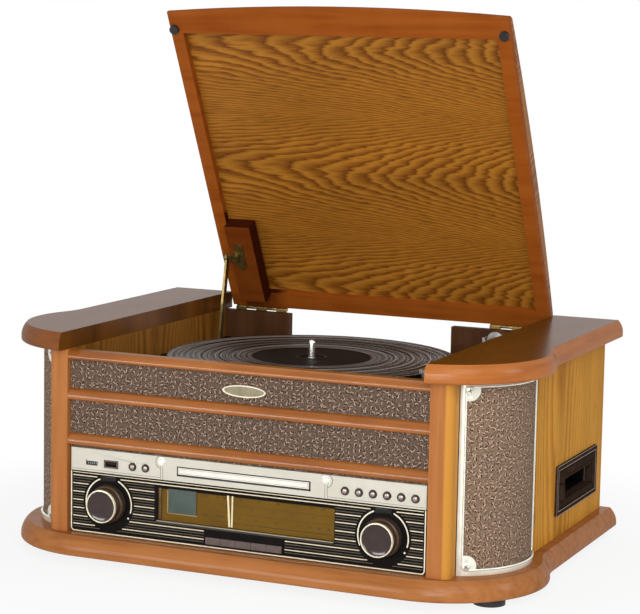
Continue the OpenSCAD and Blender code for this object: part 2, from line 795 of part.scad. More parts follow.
// Tape bay between side panel and inner board, on two legs, with the reel spindles in its floor
module cassette_deck() {
  in_x = inner_x + board_t + play;
  out_x = body_x - board_t;
  bay = [slot_w / 2, slot_h / 2];
  wall = 3;
  color("#3c3a38") translate([0, slot_y, slot_z]) {
    difference() {
      block([in_x, -bay[0] - wall, -bay[1] - wall], [out_x, bay[0] + wall, bay[1] + wall]);
      block([in_x + wall, -bay[0], -bay[1]], [out_x + 1, bay[0], bay[1]]);
    }
    for (y = [-bay[0] - wall, bay[0]])
      block([in_x + 2, y, floor_z - slot_z], [out_x - 2, y + wall, -bay[1] - wall + eps]);
    for (y = [-reel_y, reel_y]) translate([in_x + 15, y, -bay[1] - eps]) cylinder(r = 4.5, h = 3);
  }
}

// Key beside the tape opening; its flange stays behind the bezel
module eject_key() {
  out_x = body_x;
  in_x = out_x - board_t;
  color("#c8c6c0") translate([0, eject_y, slot_z]) {
    block([in_x - play - 2, -5, -8], [out_x + eject_travel + 1.5, 5, 8]);
    block([in_x - play - 2, -7, -10], [in_x - play, 7, 10]);
    block([inner_x + board_t + eject_travel + play, -3, -3], [in_x - play - 1, 3, 3]);
  }
}

// Deck with side ledges, spindle bearing and a low ring round the platter
module deck_plate() {
  color("#1f1c1a") difference() {
    union() {
      block([-inner_x, front_back_y, deck_z - deck_t], [inner_x, back_front_y, deck_z]);
      both_sides() block([inner_x - 8, front_back_y, deck_z - deck_t - 8],
                         [inner_x, back_front_y, deck_z - deck_t + eps]);
      translate([0, spindle_y, deck_z - bearing_l]) cylinder(r = 8, h = bearing_l + platter_gap - play);
      translate([0, spindle_y, deck_z - eps]) difference() {
        cylinder(r = platter_r + 6, h = 1.2);
        translate([0, 0, -1]) cylinder(r = platter_r + 4, h = 4);
      }
    }
    translate([0, spindle_y, deck_z - bearing_l - 1]) cylinder(r = spindle_r + run, h = bearing_l + 5);
    translate([pulley_x, pulley_y, deck_z - deck_t - 1]) cylinder(r = pulley_r + 4, h = deck_t + 2);
    translate([arm_x, pivot_y, deck_z - deck_t - 1]) cylinder(r = socket_r + 0.2, h = deck_t + 2);
    block([stay_x - stay_t - 5, stay_slot_y - 22, deck_z - deck_t - 9],
          [stay_x + stay_t + 4, stay_slot_y + 14, deck_z + 1]);
    translate([switch_x, switch_y, 0])
      block([-3, -2.2, deck_z - deck_t - 1], [15, 2.2, deck_z + 1]);
  }
}

// Post of the arm rest: a step under the tube and a stop on its outer side
module arm_rest() {
  out = arm_l * 0.62;
  step_top = arm_h - arm_r - play;
  color("#2c2826") translate([arm_x + out * sin(arm_a), pivot_y - out, deck_z]) {
    block([-6, -4, 0], [6.5, 4, step_top]);
    block([arm_r + play, -4, step_top - eps], [6.5, 4, arm_h + 3]);
  }
}

// Platter: top disc, outer skirt, inner drive ring, hub, spindle and shaft
module platter() {
  color("#2b2a2a") translate([0, spindle_y, 0]) {
    translate([0, 0, platter_z]) rotate_extrude($fn = 128) polygon([
      [0, 0], [8.5, 0], [8.5, platter_h - 4], [drive_ring_r - 4, platter_h - 4],
      [drive_ring_r - 4, 1], [drive_ring_r, 1], [drive_ring_r, platter_h - 4],
      [platter_r - 4, platter_h - 4], [platter_r - 4, 0], [platter_r, 0],
      [platter_r, platter_h], [0, platter_h]]);
    translate([0, 0, deck_z - 18]) cylinder(r = spindle_r, h = platter_z - deck_z + 18 + 1);
    translate([0, 0, platter_z + platter_h - 1]) {
      cylinder(r = spindle_r, h = 17);
      translate([0, 0, 17]) rotate_extrude() polygon(concat([[0, 0]], arc([0, 0], spindle_r, 0, 90)));
    }
  }
}

// Mat with a sunk label area and rings of ribs
module platter_mat() {
  sunk = mat_t - 0.6;
  color("#1a1817") translate([0, spindle_y, mat_z]) rotate_extrude($fn = 128) polygon(concat(
    [[spindle_r + run, 0], [mat_r, 0], [mat_r, mat_t + rib_h], [mat_r - 3, mat_t + rib_h],
     [mat_r - 3.6, mat_t]],
    [for (i = [0:7]) let (r = mat_r - 8 - i * rib_pitch) each [
      [r, mat_t], [r - 0.6, mat_t + rib_h], [r - 2, mat_t + rib_h], [r - 2.6, mat_t]]],
    [[62, mat_t], [61, sunk], [16, sunk], [15.6, sunk + 0.4], [14.4, sunk + 0.4], [14, sunk - 0.4],
     [spindle_r + run, sunk - 0.4]]));
}

module drive_motor() {
  color("#9a9c9e") translate([pulley_x, pulley_y, deck_z - deck_t]) difference() {
    union() {
      translate([0, 0, -26]) cylinder(r = 16, h = 26);
      translate([0, 0, -2]) linear_extrude(2) rounded_plate(46, 12, 5);
    }
    translate([0, 0, -14]) cylinder(r = 1 + run, h = 15);
  }
}

module motor_pulley() {
  color("#c9a24a") translate([pulley_x, pulley_y, 0]) {
    translate([0, 0, deck_z - deck_t - 13]) cylinder(r = 1, h = belt_z - deck_z + deck_t + 12);
    translate([0, 0, belt_z - 1]) rotate_extrude() polygon([
      [0, 0], [pulley_r + 1.6, 0], [pulley_r, 1], [pulley_r, belt_h + 1], [pulley_r + 1.2, belt_h + 2],
      [0, belt_h + 2]]);
  }
}

module belt_loop(extra) {
  hull() {
    circle(r = drive_ring_r + extra, $fn = 96);
    translate([pulley_x, pulley_y - spindle_y]) circle(r = pulley_r + extra, $fn = 48);
  }
}

module drive_belt() {
  color("#141312") translate([0, spindle_y, belt_z + 0.3]) linear_extrude(belt_h - 0.6) difference() {
    belt_loop(0.2 + belt_t);
    belt_loop(0.2);
  }
}

// Round base of the tonearm with its bearing post and the cue lift
module tonearm_base() {
  color("#26221f") translate([arm_x, pivot_y, 0]) {
    difference() {
      union() {
        translate([0, 0, deck_z]) rotate_extrude() polygon([
          [0, 0], [21, 0], [21, 3], [19.5, 4.5], [12, 5], [11, 10], [10, 11], [0, 11]]);
        translate([0, 0, deck_z - deck_t - 5]) cylinder(r = socket_r, h = deck_t + 6);
      }
      translate([0, 0, deck_z - deck_t - 6]) cylinder(r = 3 + run, h = deck_t + 30);
    }
    difference() {
      block([-22, -32, deck_z], [22, -19, deck_z + 7]);
      translate([cue_x - arm_x, cue_y - pivot_y, cue_z]) {
        block([-3.4, -8, -2.5], [3.4, 4, 4]);
        translate([-5, 0, 0]) rod_x(1 + run, 10);
      }
    }
  }
}

// Yoke that turns on the bearing post; its ears carry the arm's cross pins
module arm_yoke() {
  ear = arm_r + 3;
  color("#8f8f92") translate([arm_x, pivot_y, 0]) {
    translate([0, 0, deck_z - 4]) cylinder(r = 3, h = 16);
    translate([0, 0, deck_z + 11 + play]) cylinder(r = 10, h = 3);
    rotate([0, 0, arm_a]) for (s = [-1, 1]) difference() {
      block([s * ear - 1.2 - 0.3, -5, deck_z + 14], [s * ear + 1.2 + 0.3, 5, arm_z + 5]);
      translate([s * ear - 3, 0, arm_z]) rod_x(1.2 + run, 6);
    }
  }
}

// Arm: cross pins, tube, counterweight, headshell with cartridge and stylus
module tonearm() {
  ear = arm_r + 3;
  head_l = 42;
  color("#b9b9bb") translate([arm_x, pivot_y, arm_z]) rotate([0, 0, arm_a]) {
    translate([-ear - 1.4, 0, 0]) rod_x(1.2, 2 * ear + 2.8);
    translate([0, -arm_l + 20, 0]) rod_y(arm_r, arm_l - 20 + 18);
    translate([0, 16, 0]) rod_y(9, 20);
    translate([0, -arm_l - 8, 0]) block([-8, 0, -2.5], [8, head_l, 2]);
    translate([0, -arm_l - 6, 0]) block([-6, 0, -8], [6, 22, -2.4]);
    translate([7, -arm_l - 2, 0]) block([0, 0, -1], [9, 4, 0.5]);
    translate([0, -arm_l, stylus_z - arm_z]) cylinder(r = 0.8, h = arm_z - stylus_z - 7);
  }
}

module cue_lever() {
  color("#2c2826") translate([cue_x, cue_y, cue_z]) {
    translate([-3.1, 0, 0]) rod_x(2, 6.2);
    translate([-4.8, 0, 0]) rod_x(1, 9.6);
    block([-2, -18, -1.5], [2, 0, 1.5]);
    block([-3.5, -24, -1.5], [3.5, -17, 3]);
  }
}

module speed_switch() {
  color("#30302f") translate([switch_x, switch_y, deck_z]) {
    block([-2.7, -2, -deck_t - 1], [2.7, 2, 4]);
    block([-5, -3.4, -deck_t - 3], [5, 3.4, -deck_t - play]);
    block([-5, -3.4, play], [5, 3.4, 1.4]);
  }
}

// Back board: two uprights carry the hinges, the middle is open down to the deck
module back_panel() {
  open_x = [80 - inner_x, inner_x - 113];
  vent_x = inner_x - 105;
  x = body_x - board_t;
  color("#3b2415") {
    difference() {
      block([-x, back_front_y, floor_z], [x, back_y, cap_z - 0.5]);
      block([open_x[0], back_front_y - 1, deck_z], [open_x[1], back_y + 1, cap_z + 1]);
      block([socket_x[0], back_front_y - 1, socket_z[0]], [socket_x[1], back_y + 1, socket_z[1]]);
      for (i = [0:7]) block([vent_x + i * 10, back_front_y - 1, floor_z + 90],
                            [vent_x + 5 + i * 10, back_y + 1, floor_z + 130]);
    }
    // Plate with the line sockets and the mains inlet
    difference() {
      union() {
        block([socket_x[0] - 5, back_y, socket_z[0] - 5],
              [socket_x[1] + 5, back_y + 1.5, socket_z[1] + 5]);
        translate([socket_x[0] + 6, back_y, socket_z[0] + 6]) block([0, -21, 0], [30, 1, 20]);
      }
      translate([socket_x[0] + 6, back_y, socket_z[0] + 6]) block([2, -19, 2], [28, 2, 18]);
    }
    for (i = [0:3]) translate([socket_x[0] + 50 + 14 * i, back_y + 1.5 - eps, socket_z[0] + 16])
      rod_y(4.2, 3.5);
  }
}

// Turns what is drawn for the closed lid up to its open rest place
module at_lid() {
  translate([0, hinge_y, hinge_z]) rotate([-lid_open, 0, 0]) translate([0, -hinge_y, -hinge_z])
    children();
}

// Everything behind the bowed front edge; the edge rounds over towards the top
module behind_bow(r_top) {
  t = lid_edge_t + lid_crown + 1;
  span = 2 * asin((lid_w / 2 + 5) / bow_inner_r);
  translate([0, lid_front_y - lid_bow + bow_r, lid_z]) rotate([0, 0, -90 - span / 2])
    rotate_extrude(angle = span, $fn = 1440) translate([bow_inner_r, 0])
      polygon(concat([[0, 0], [lid_d + 20, 0]],
        arc([lid_d + 20 - r_top, 1], r_top, 0, 60), [[lid_d + 16 - r_top, t], [0, t]]));
}

module lid_frame() {
  half = lid_w / 2;
  color("#945225") at_lid() {
    intersection() {
      behind_bow(lid_edge_t);
      block([-half, lid_front_y - lid_bow - 1, lid_z],
            [half, lid_front_y + lid_front_rail, lid_z + lid_frame_t]);
    }
    for (s = [0, 1]) mirror([s, 0, 0])
      block([half - lid_side_rail, lid_front_y + lid_front_rail, lid_z],
            [half, lid_back_y - lid_back_rail, lid_z + lid_frame_t]);
    block([-half, lid_back_y - lid_back_rail, lid_z], [half, lid_back_y, lid_z + lid_frame_t]);
    block([block_x, lid_back_y - block_gap - block_l, lid_z - block_t],
          [block_x + block_w, lid_back_y - block_gap, lid_z]);
  }
}

module lid_panel() {
  half = lid_w / 2;
  edge_z = lid_z + lid_edge_t;
  mid = [lid_back_y - lid_d / 2, edge_z + lid_crown - crown_r];
  crown_a = asin((lid_d / 2) / crown_r);
  color("#a5762f") at_lid() intersection() {
    behind_bow(lid_edge_t);
    translate([-half, 0, 0]) along_x(lid_w) polygon(concat(
      [[lid_front_y - lid_bow - 1, lid_z + lid_frame_t], [lid_back_y, lid_z + lid_frame_t]],
      arc(mid, crown_r, 90 - crown_a, 90 + crown_a, 32), [[lid_front_y - lid_bow - 1, edge_z]]));
  }
}

module lid_bumpers() {
  color("#151515") at_lid() both_sides()
    translate([lid_w / 2 - bumper_r - 0.5, lid_front_y + lid_front_rail - bumper_r, board_top_z + play])
      cylinder(r = bumper_r, h = lid_z - board_top_z - play);
}

// Knuckles of one hinge leaf with the webs that join them to it; the webs reach from low to high
module knuckle_row(first, low, high) {
  for (i = [first:2:knuckles - 1]) translate([-hinge_w / 2 + i * knuckle_w + knuckle_gap, 0, 0]) {
    w = knuckle_w - 2 * knuckle_gap;
    translate([0, hinge_y, hinge_z]) rod_x(hinge_r, w);
    block([0, low[0], low[1]], [w, high[0], high[1]]);
  }
}

// Lid leaves of the hinges, and the stay's bracket with its pivot pin
module lid_hardware() {
  plate_x = block_w * 0.4;
  head_x = play + stay_t + 0.4;
  color("#6e5a34") at_lid() {
    for (s = [-1, 1]) translate([s * hinge_x, 0, 0]) difference() {
      union() {
        knuckle_row(1, [hinge_y - 1, hinge_z], [hinge_y + 0.2, lid_z + 1]);
        block([-hinge_w / 2, hinge_y - 1, lid_z + 0.2], [hinge_w / 2, hinge_y + 0.2, lid_z + lid_frame_t]);
      }
      translate([-hinge_w, hinge_y, hinge_z]) rod_x(hinge_pin_r + run, 2 * hinge_w);
    }
    translate([block_x + plate_x, lid_back_y - stay_s, lid_z - block_t]) {
      mirror([0, 0, 1]) linear_extrude(1.5) rounded_plate(11, 34, 5.4);
      block([-plate_x - 1, -4, -6], [-1, 4, -1.4]);
    }
    translate([block_x - 1, lid_back_y - stay_s, lid_z - block_t - pin_drop]) mirror([1, 0, 0]) {
      translate([-1, 0, 0]) rod_x(pin_r, 1 + head_x + play);
      translate([head_x, 0, 0]) rod_x(pin_r + 1, 1);
    }
  }
}

module stay_arm() {
  x = block_x - 1 - play - stay_t;
  color("#8a7a58") translate([x, pivot_rest[0], pivot_rest[1]]) rotate([-stay_lean, 0, 0])
    rotate([0, 90, 0]) linear_extrude(stay_t) difference() {
      union() {
        circle(r = stay_w / 2 + 0.8);
        translate([0, -stay_w / 2]) square([stay_l, stay_w]);
        translate([stay_l, 0]) circle(r = stay_w / 2);
      }
      circle(r = pin_r + run);
    }
}

// Case leaves of the hinges with their pins, and the guide strap that the stay slides in
module case_hardware() {
  guide = [pivot_rest[0] - 29, hinge_z - 80];
  color("#6e5a34") {
    for (s = [-1, 1]) translate([s * hinge_x, 0, 0]) {
      knuckle_row(0, [back_y, hinge_z - 3], [hinge_y, hinge_z]);
      translate([-hinge_w / 2 + knuckle_gap, hinge_y, hinge_z])
        rod_x(hinge_pin_r, hinge_w - 2 * knuckle_gap);
      block([-hinge_w / 2, back_y, hinge_z - 20], [hinge_w / 2, back_y + 1, hinge_z - 2.6]);
    }
    translate([0, guide[0], guide[1]]) difference() {
      block([-inner_x, -16, 0], [stay_x + 4, 16, 10]);
      block([stay_x - stay_t - 3, -13, -1], [stay_x + 2.5, 13, 11]);
      block([-inner_x + 1.5, -13, -1], [stay_x - stay_t - 6, 13, 11]);
    }
  }
}

// Control board behind the fascia, main board on its standoffs, transformer
module main_board() {
  board_x = [85 - inner_x, inner_x - 125];
  board_y = [drive_y + drive_d + 12, back_front_y - 26];
  coil_x = inner_x - 105;
  control_x = board_open_x + 4;
  color("#2e5b37") {
    block([-control_x, control_y, floor_z + 3], [control_x, control_y + pcb_t, tray_z - 4]);
    both_sides() block([board_open_x + 1, front_back_y, floor_z + 3],
                       [control_x, control_y + eps, tray_z - 4]);
    for (s = [-1, 1]) translate([s * knob_x, control_y - pot_l, floor_z + knob_z]) difference() {
      rod_y(8, pot_l + eps);
      translate([0, -1, 0]) rod_y(3 + run, 7);
    }
    for (i = [1:5]) translate([window_x + (i - 3) * key_w, control_y - switch_l, key_switch_z])
      rod_y(2.5, switch_l + eps);
    for (x = button_places()) translate([x, 0, button_z]) {
      block([-3, control_y - switch_l, -3], [3, control_y + pcb_t, 3]);
      block([-3, control_y, -10], [3, control_y + pcb_t, -2.9]);
    }
    translate([usb_x, 0, button_z]) {
      block([-6.2, fascia_y + 1, -2.6], [6.2, fascia_y + 3, 2.6]);
      block([-8, front_board_y, -4], [8, control_y + pcb_t, 4]);
      block([-5, control_y, -10], [5, control_y + pcb_t, -3.9]);
    }
    block([board_x[0], board_y[0], floor_z + 8], [board_x[1], board_y[1], floor_z + 8 + pcb_t]);
    for (x = [board_x[0] + 6, board_x[1] - 6], y = [board_y[0] + 6, board_y[1] - 6])
      translate([x, y, floor_z]) cylinder(r = 3, h = 8 + eps);
    for (i = [0:3]) translate([board_x[0] + 20 + 22 * i, board_y[1] - 22, floor_z + 8])
      cylinder(r = 6, h = 24);
    block([board_x[0] + 50, board_y[0] + 10, floor_z + 8],
          [board_x[1] - 40, board_y[0] + 14, floor_z + 42]);
    block([coil_x + 6, board_y[0] + 4, floor_z], [coil_x + 70, board_y[1] - 8, floor_z + 50]);
    block([coil_x, board_y[0] + 20, floor_z], [coil_x + 76, board_y[1] - 24, floor_z + 40]);
  }
}

plinth();
feet();
side_panel_left();
side_panel_right();
inner_boards();
columns();
front_rails();
cloth_panels();
badge();
silver_strip();
dial_panel();
dial_window();
dial_scale();
lcd_display();
dial_pointer();
volume_knob();
tuning_knob();
button_1();
button_2();
button_3();
button_4();
button_5();
button_6();
button_7();
button_8();
key_1();
key_2();
key_3();
key_4();
key_5();
trim_studs();
cd_tray();
cd_drive();
top_cap_left();
top_cap_right();
speaker_frames();
speaker_drivers();
cassette_bezel();
cassette_deck();
eject_key();
deck_plate();
platter();
platter_mat();
drive_motor();
motor_pulley();
drive_belt();
tonearm_base();
arm_yoke();
tonearm();
arm_rest();
cue_lever();
speed_switch();
back_panel();
lid_frame();
lid_panel();
lid_bumpers();
lid_hardware();
stay_arm();
case_hardware();
main_board();
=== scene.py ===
"""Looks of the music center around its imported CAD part. Lengths below are millimetres in the CAD frame."""

import math

import bmesh
import bpy
from mathutils import Matrix, Vector


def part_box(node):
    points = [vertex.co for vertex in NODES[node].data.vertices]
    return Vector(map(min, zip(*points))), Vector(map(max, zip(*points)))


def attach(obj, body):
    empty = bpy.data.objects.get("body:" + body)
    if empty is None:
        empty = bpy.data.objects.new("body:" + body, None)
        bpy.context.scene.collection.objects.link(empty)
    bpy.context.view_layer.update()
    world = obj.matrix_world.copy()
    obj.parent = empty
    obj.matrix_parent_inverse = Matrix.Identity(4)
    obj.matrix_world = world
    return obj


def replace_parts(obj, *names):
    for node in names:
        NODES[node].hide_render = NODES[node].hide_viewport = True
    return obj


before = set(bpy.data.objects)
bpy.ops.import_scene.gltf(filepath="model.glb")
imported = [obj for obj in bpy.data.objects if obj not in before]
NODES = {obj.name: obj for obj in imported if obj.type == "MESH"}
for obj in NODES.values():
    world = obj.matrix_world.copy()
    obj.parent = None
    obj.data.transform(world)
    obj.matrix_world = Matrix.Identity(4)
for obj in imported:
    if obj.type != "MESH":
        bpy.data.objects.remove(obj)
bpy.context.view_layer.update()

MM = 0.001
SIDES = ((-1, "left"), (1, "right"))
# planes of the cabinet: foremost point, plinth top, foot and top of the caps, fascia, cloth, back and deck
FRONT = -201.485
FLOOR = 29.0
CAP = 216.0
CAP_TOP = CAP + 18.5
FASCIA = FRONT + 23
CLOTH_Y = FRONT + 25
BACK = FRONT + 388
DECK = 184.0
# lid: its hinge line and how far it stands open at rest
HINGE = (0.0, FRONT + 391, 218.0)
LID_OPEN = math.radians(62.6)
# rounded speaker corners: centre of the right one, radius and ends of the bent frame
CORNER = (188.0, FRONT + 110)
FRAME_R = 78.0
FRAME_ANGLES = (-67.38, 32.2)
# front: half width of the fascia, inner cut of the caps, foot and head of the three rails
HALF_W = 190.0
CUT_X = 195.0
RAILS = ((118.05, 130.55), (163.75, 176.25), (205.0, 215.5))
# on the fascia: knobs, dome studs, tray (half width, foot and head), port, card slot and buttons
KNOB_X, KNOB_Z = 149.0, FLOOR + 33
STUD_X, STUD_Z = 89.2, FLOOR + 81.2
TRAY = (71.0, 99.8, 106.6)
PORT_X, CARD_X = -146.4, -168.6
BUTTONS = [-122.1, -107.4] + [108.9 + 14.46 * i for i in range(6)]
BUTTON_Z = FLOOR + 73.2
# room that the printed lines leave for the window and the keys: foot and head over FLOOR, left and right
WINDOW_GAP = (21.0, 56.0, -97.0, 99.3)
KEYS_GAP = (0.0, 21.8, -41.4, 46.4)
# badge and turntable
BADGE_Z = FLOOR + 160
SPINDLE_Y = FRONT + 185
MAT_TOP = DECK + 18


# Materials: every node is added by one function, which also sets its values and links
def rgb(code):
    """Linear colour of an sRGB hex code."""
    parts = [int(code[i:i + 2], 16) / 255 for i in (1, 3, 5)]
    return [c / 12.92 if c <= 0.04045 else ((c + 0.055) / 1.055) ** 2.4 for c in parts] + [1.0]


def add(tree, kind, inputs=None, out=0, ramp=None, **settings):
    """Adds a node, sets or links its inputs and returns the asked output (the node itself for out=None)."""
    node = tree.nodes.new("ShaderNode" + kind)
    for key, value in settings.items():
        setattr(node, key, value)
    for key, value in (inputs or {}).items():
        socket = node.inputs[key]
        if isinstance(value, bpy.types.NodeSocket):
            tree.links.new(value, socket)
        else:
            socket.default_value = value
    if ramp:
        stops = node.color_ramp.elements
        while len(stops) < len(ramp):
            stops.new(0.5)
        for stop, (place, code) in zip(stops, ramp):
            stop.position = place
            stop.color = rgb(code) if isinstance(code, str) else (code, code, code, 1)
    return node if out is None else node.outputs[out]


def start(name):
    """An empty material; returns it with its node tree."""
    mat = bpy.data.materials.new(name)
    mat.use_nodes = True
    mat.node_tree.nodes.clear()
    return mat, mat.node_tree


def close(tree, color, rough, height=None, depth=0.1, **sockets):
    """Ends a material in a Principled shader; height in 0..1 stands for a relief of depth millimetres."""
    inputs = {"Base Color": color, "Roughness": rough}
    if height is not None:
        inputs["Normal"] = add(tree, "Bump", {"Height": height, "Distance": depth * MM, "Strength": 1.0})
    inputs.update({key.replace("_", " "): value for key, value in sockets.items()})
    shader = add(tree, "BsdfPrincipled", inputs)
    add(tree, "OutputMaterial", {"Surface": shader}, out=None)


def cell_scale(along, across):
    """Scale of a pattern whose cells are so many millimetres long and wide."""
    return 1 / (along * MM), 1 / (across * MM), 1


def place(tree, scale=(1, 1, 1), turn=(0, 0, 0), move=(0, 0, 0), source="Object"):
    """Coordinates in the CAD frame, in metres, turned and scaled."""
    coords = add(tree, "TexCoord", out=source)
    return add(tree, "Mapping", {"Vector": coords, "Scale": scale, "Rotation": turn, "Location": move})


def two(tree, factor, first, second, blend="MIX"):
    """Mixes two colours, given as hex codes or links."""
    pick = [rgb(c) if isinstance(c, str) else c for c in (first, second)]
    return add(tree, "Mix", {0: factor, 6: pick[0], 7: pick[1]}, out=2, data_type="RGBA", blend_type=blend)


def plain(name, first, second, rough, size=8.0, grain=0.6, depth=0.02, stretch=(1, 1, 1), **sockets):
    """Plastic, paint, rubber or metal: two close colours in patches of size over a relief of grain, in mm."""
    mat, tree = start(name)
    patches = add(tree, "TexNoise", {"Vector": place(tree, stretch), "Scale": 1 / (size * MM), "Detail": 3.0})
    fine = add(tree, "TexNoise", {"Vector": place(tree, stretch), "Scale": 1 / (grain * MM), "Detail": 2.0})
    level = add(tree, "MapRange", {"Value": patches, "From Min": 0.35, "From Max": 0.65})
    spread = add(tree, "MapRange", {"Value": fine, "To Min": rough * 0.88, "To Max": rough * 1.12})
    close(tree, two(tree, level, first, second), spread, fine, depth, **sockets)
    return mat


# cells of the grain, along and across the board: sway of the rings, their jags, pores and cloudy tone
GRAIN = ((166.7, 50), (45.45, 4.762), (25, 0.909), (250, 62.5))


def wood_color(tree, along, across, rings, pores):
    """Colour and relief of plain-sawn oak: the board cuts the rings of a leaning trunk in nested arches.

    In rings, thin says how fast the rings narrow off the middle, climb and bend how many the cut passes along
    the board, sway and jag how far their lines wander, and calm how even the flanks are.
    """
    flank_start, flank_full = 24.5, 54.8
    flat = add(tree, "CombineXYZ", {"X": along, "Y": across})
    slow, jag, fibre, cloud = [
        add(tree, "TexNoise", {"Vector": add(tree, "Mapping", {"Vector": flat, "Scale": cell_scale(*size)}),
                               "Scale": 1.0, "Detail": 2.0}) for size in GRAIN]
    # rings get thinner outwards; along the board the cut climbs through them ever faster
    square = add(tree, "Math", {0: across, 1: across}, operation="MULTIPLY")
    climb = add(tree, "Math", {0: along, 1: rings["bend"], 2: rings["climb"]}, operation="MULTIPLY_ADD")
    climbed = add(tree, "Math", {0: climb, 1: along}, operation="MULTIPLY")
    phase = add(tree, "Math", {0: square, 1: rings["thin"]}, operation="MULTIPLY")
    phase = add(tree, "Math", {0: phase, 1: climbed}, operation="SUBTRACT")
    phase = add(tree, "Math", {0: slow, 1: rings["sway"], 2: phase}, operation="MULTIPLY_ADD")
    phase = add(tree, "Math", {0: jag, 1: rings["jag"], 2: phase}, operation="MULTIPLY_ADD")
    ring = add(tree, "Math", {0: phase}, operation="FRACT")
    shade = add(tree, "ValToRGB", {"Fac": ring}, ramp=rings["ramp"])
    # on the flanks the rings stand close and blur into an even tone
    flank = add(tree, "MapRange", {"Value": square, "From Min": (flank_start * MM) ** 2,
                                   "From Max": (flank_full * MM) ** 2, "To Max": rings["calm"]})
    shade = two(tree, flank, shade, rings["ramp"][2][1])
    pore = add(tree, "MapRange", {"Value": fibre, "From Min": 0.52, "From Max": 0.36})
    early = add(tree, "MapRange", {"Value": ring, "From Min": 0.8, "From Max": 0.0, "To Max": pores})
    dark = add(tree, "Math", {0: pore, 1: early}, operation="MULTIPLY")
    tone = add(tree, "MapRange", {"Value": cloud, "From Min": 0.3, "From Max": 0.7, "To Min": 0.8,
                                  "To Max": 1.1})
    toned = two(tree, 1.0, shade, add(tree, "CombineColor", {0: tone, 1: tone, 2: tone}), "MULTIPLY")
    color = two(tree, dark, toned, rings["dark"])
    return color, add(tree, "Math", {0: 1.0, 1: dark}, operation="SUBTRACT")


# one ring from its early wood to the next ring's, on the lid, the sides and the inner boards
OAK = [(0.0, "#6D3B0D"), (0.14, "#804A13"), (0.42, "#97601C"), (0.75, "#A66E25"), (0.92, "#8E5819"),
       (1.0, "#6D3B0D")]
LIGHT_OAK = [(0.0, "#AD7221"), (0.2, "#BC7E28"), (0.5, "#CC9237"), (0.8, "#CA8D33"), (1.0, "#AD7221")]
INNER_OAK = [(0.0, "#6C4312"), (0.2, "#7A4E17"), (0.5, "#8E5E20"), (0.8, "#8A5A1D"), (1.0, "#6C4312")]


def oak(name, ramp, along, across, rings, leaf, turn=0.0, hinge=None, rough=0.45, dark="#4E2A0A",
        gloss=0.15):
    """Oak veneer: open pores and a thin satin varnish.

    along and across are axes of the turned frame (0 for x, 1 for y, 2 for z); leaf holds the shift across and
    both edges of one leaf, in millimetres.
    """
    mat, tree = start(name)
    if hinge:
        # the lid's own frame: as it lies when closed, with the hinge at the origin
        back = Matrix.Rotation(turn, 3, "X") @ (Vector(hinge) * MM)
        spot = place(tree, turn=(turn, 0, 0), move=tuple(-back))
    else:
        spot = place(tree)
    axes = add(tree, "SeparateXYZ", {"Vector": spot}, out=None)
    u, v = axes.outputs[along], axes.outputs[across]
    # veneer leaves laid side by side: each repeats the same cut of the log
    shift, low, high = (x * MM for x in leaf)
    v = add(tree, "Math", {0: v, 1: shift}, operation="ADD")
    v = add(tree, "Math", {0: v, 1: high, 2: low}, operation="WRAP")
    color, relief = wood_color(tree, u, v, {**rings, "ramp": ramp, "dark": dark}, 0.9)
    close(tree, color, rough, relief, 0.05, Specular_IOR_Level=gloss)
    return mat


def lacquer_color(tree, codes, stretch):
    """Stained wood under lacquer: soft streaks along the grain and cloudy stain."""
    streak_width, cloud_width = 6.25, 45.45
    streak = add(tree, "TexNoise", {"Vector": place(tree, stretch), "Scale": 1 / (streak_width * MM),
                                    "Detail": 4.0})
    cloud = add(tree, "TexNoise", {"Vector": place(tree), "Scale": 1 / (cloud_width * MM), "Detail": 2.0})
    cloudy = add(tree, "Math", {0: cloud, 1: 0.3}, operation="MULTIPLY")
    both = add(tree, "Math", {0: streak, 1: 0.7, 2: cloudy}, operation="MULTIPLY_ADD")
    ramp = list(zip((0.36, 0.5, 0.66), codes))
    return add(tree, "ValToRGB", {"Fac": both}, ramp=ramp), streak


def lacquer(name, codes, stretch=(0.05, 1, 1), coat=0.3, gloss=0.24, painted_sheen=None):
    """Beech moulding, stained and sprayed with satin lacquer: warm colour and wide soft highlights."""
    mat, tree = start(name)
    color, streak = lacquer_color(tree, codes, stretch)
    if painted_sheen:
        # painted sheen: the stain turns a golden tone along the right column's rounded outer edge, standing
        # for light from the right
        inner, outer, sheen_color = painted_sheen
        x = add(tree, "SeparateXYZ", {"Vector": place(tree)})
        edge = add(tree, "MapRange", {"Value": x, "From Min": inner * MM, "From Max": outer * MM})
        color = two(tree, edge, color, sheen_color)
    close(tree, color, 0.5, streak, 0.01, Specular_IOR_Level=0.0, Coat_Weight=coat, Coat_Roughness=gloss)
    return mat


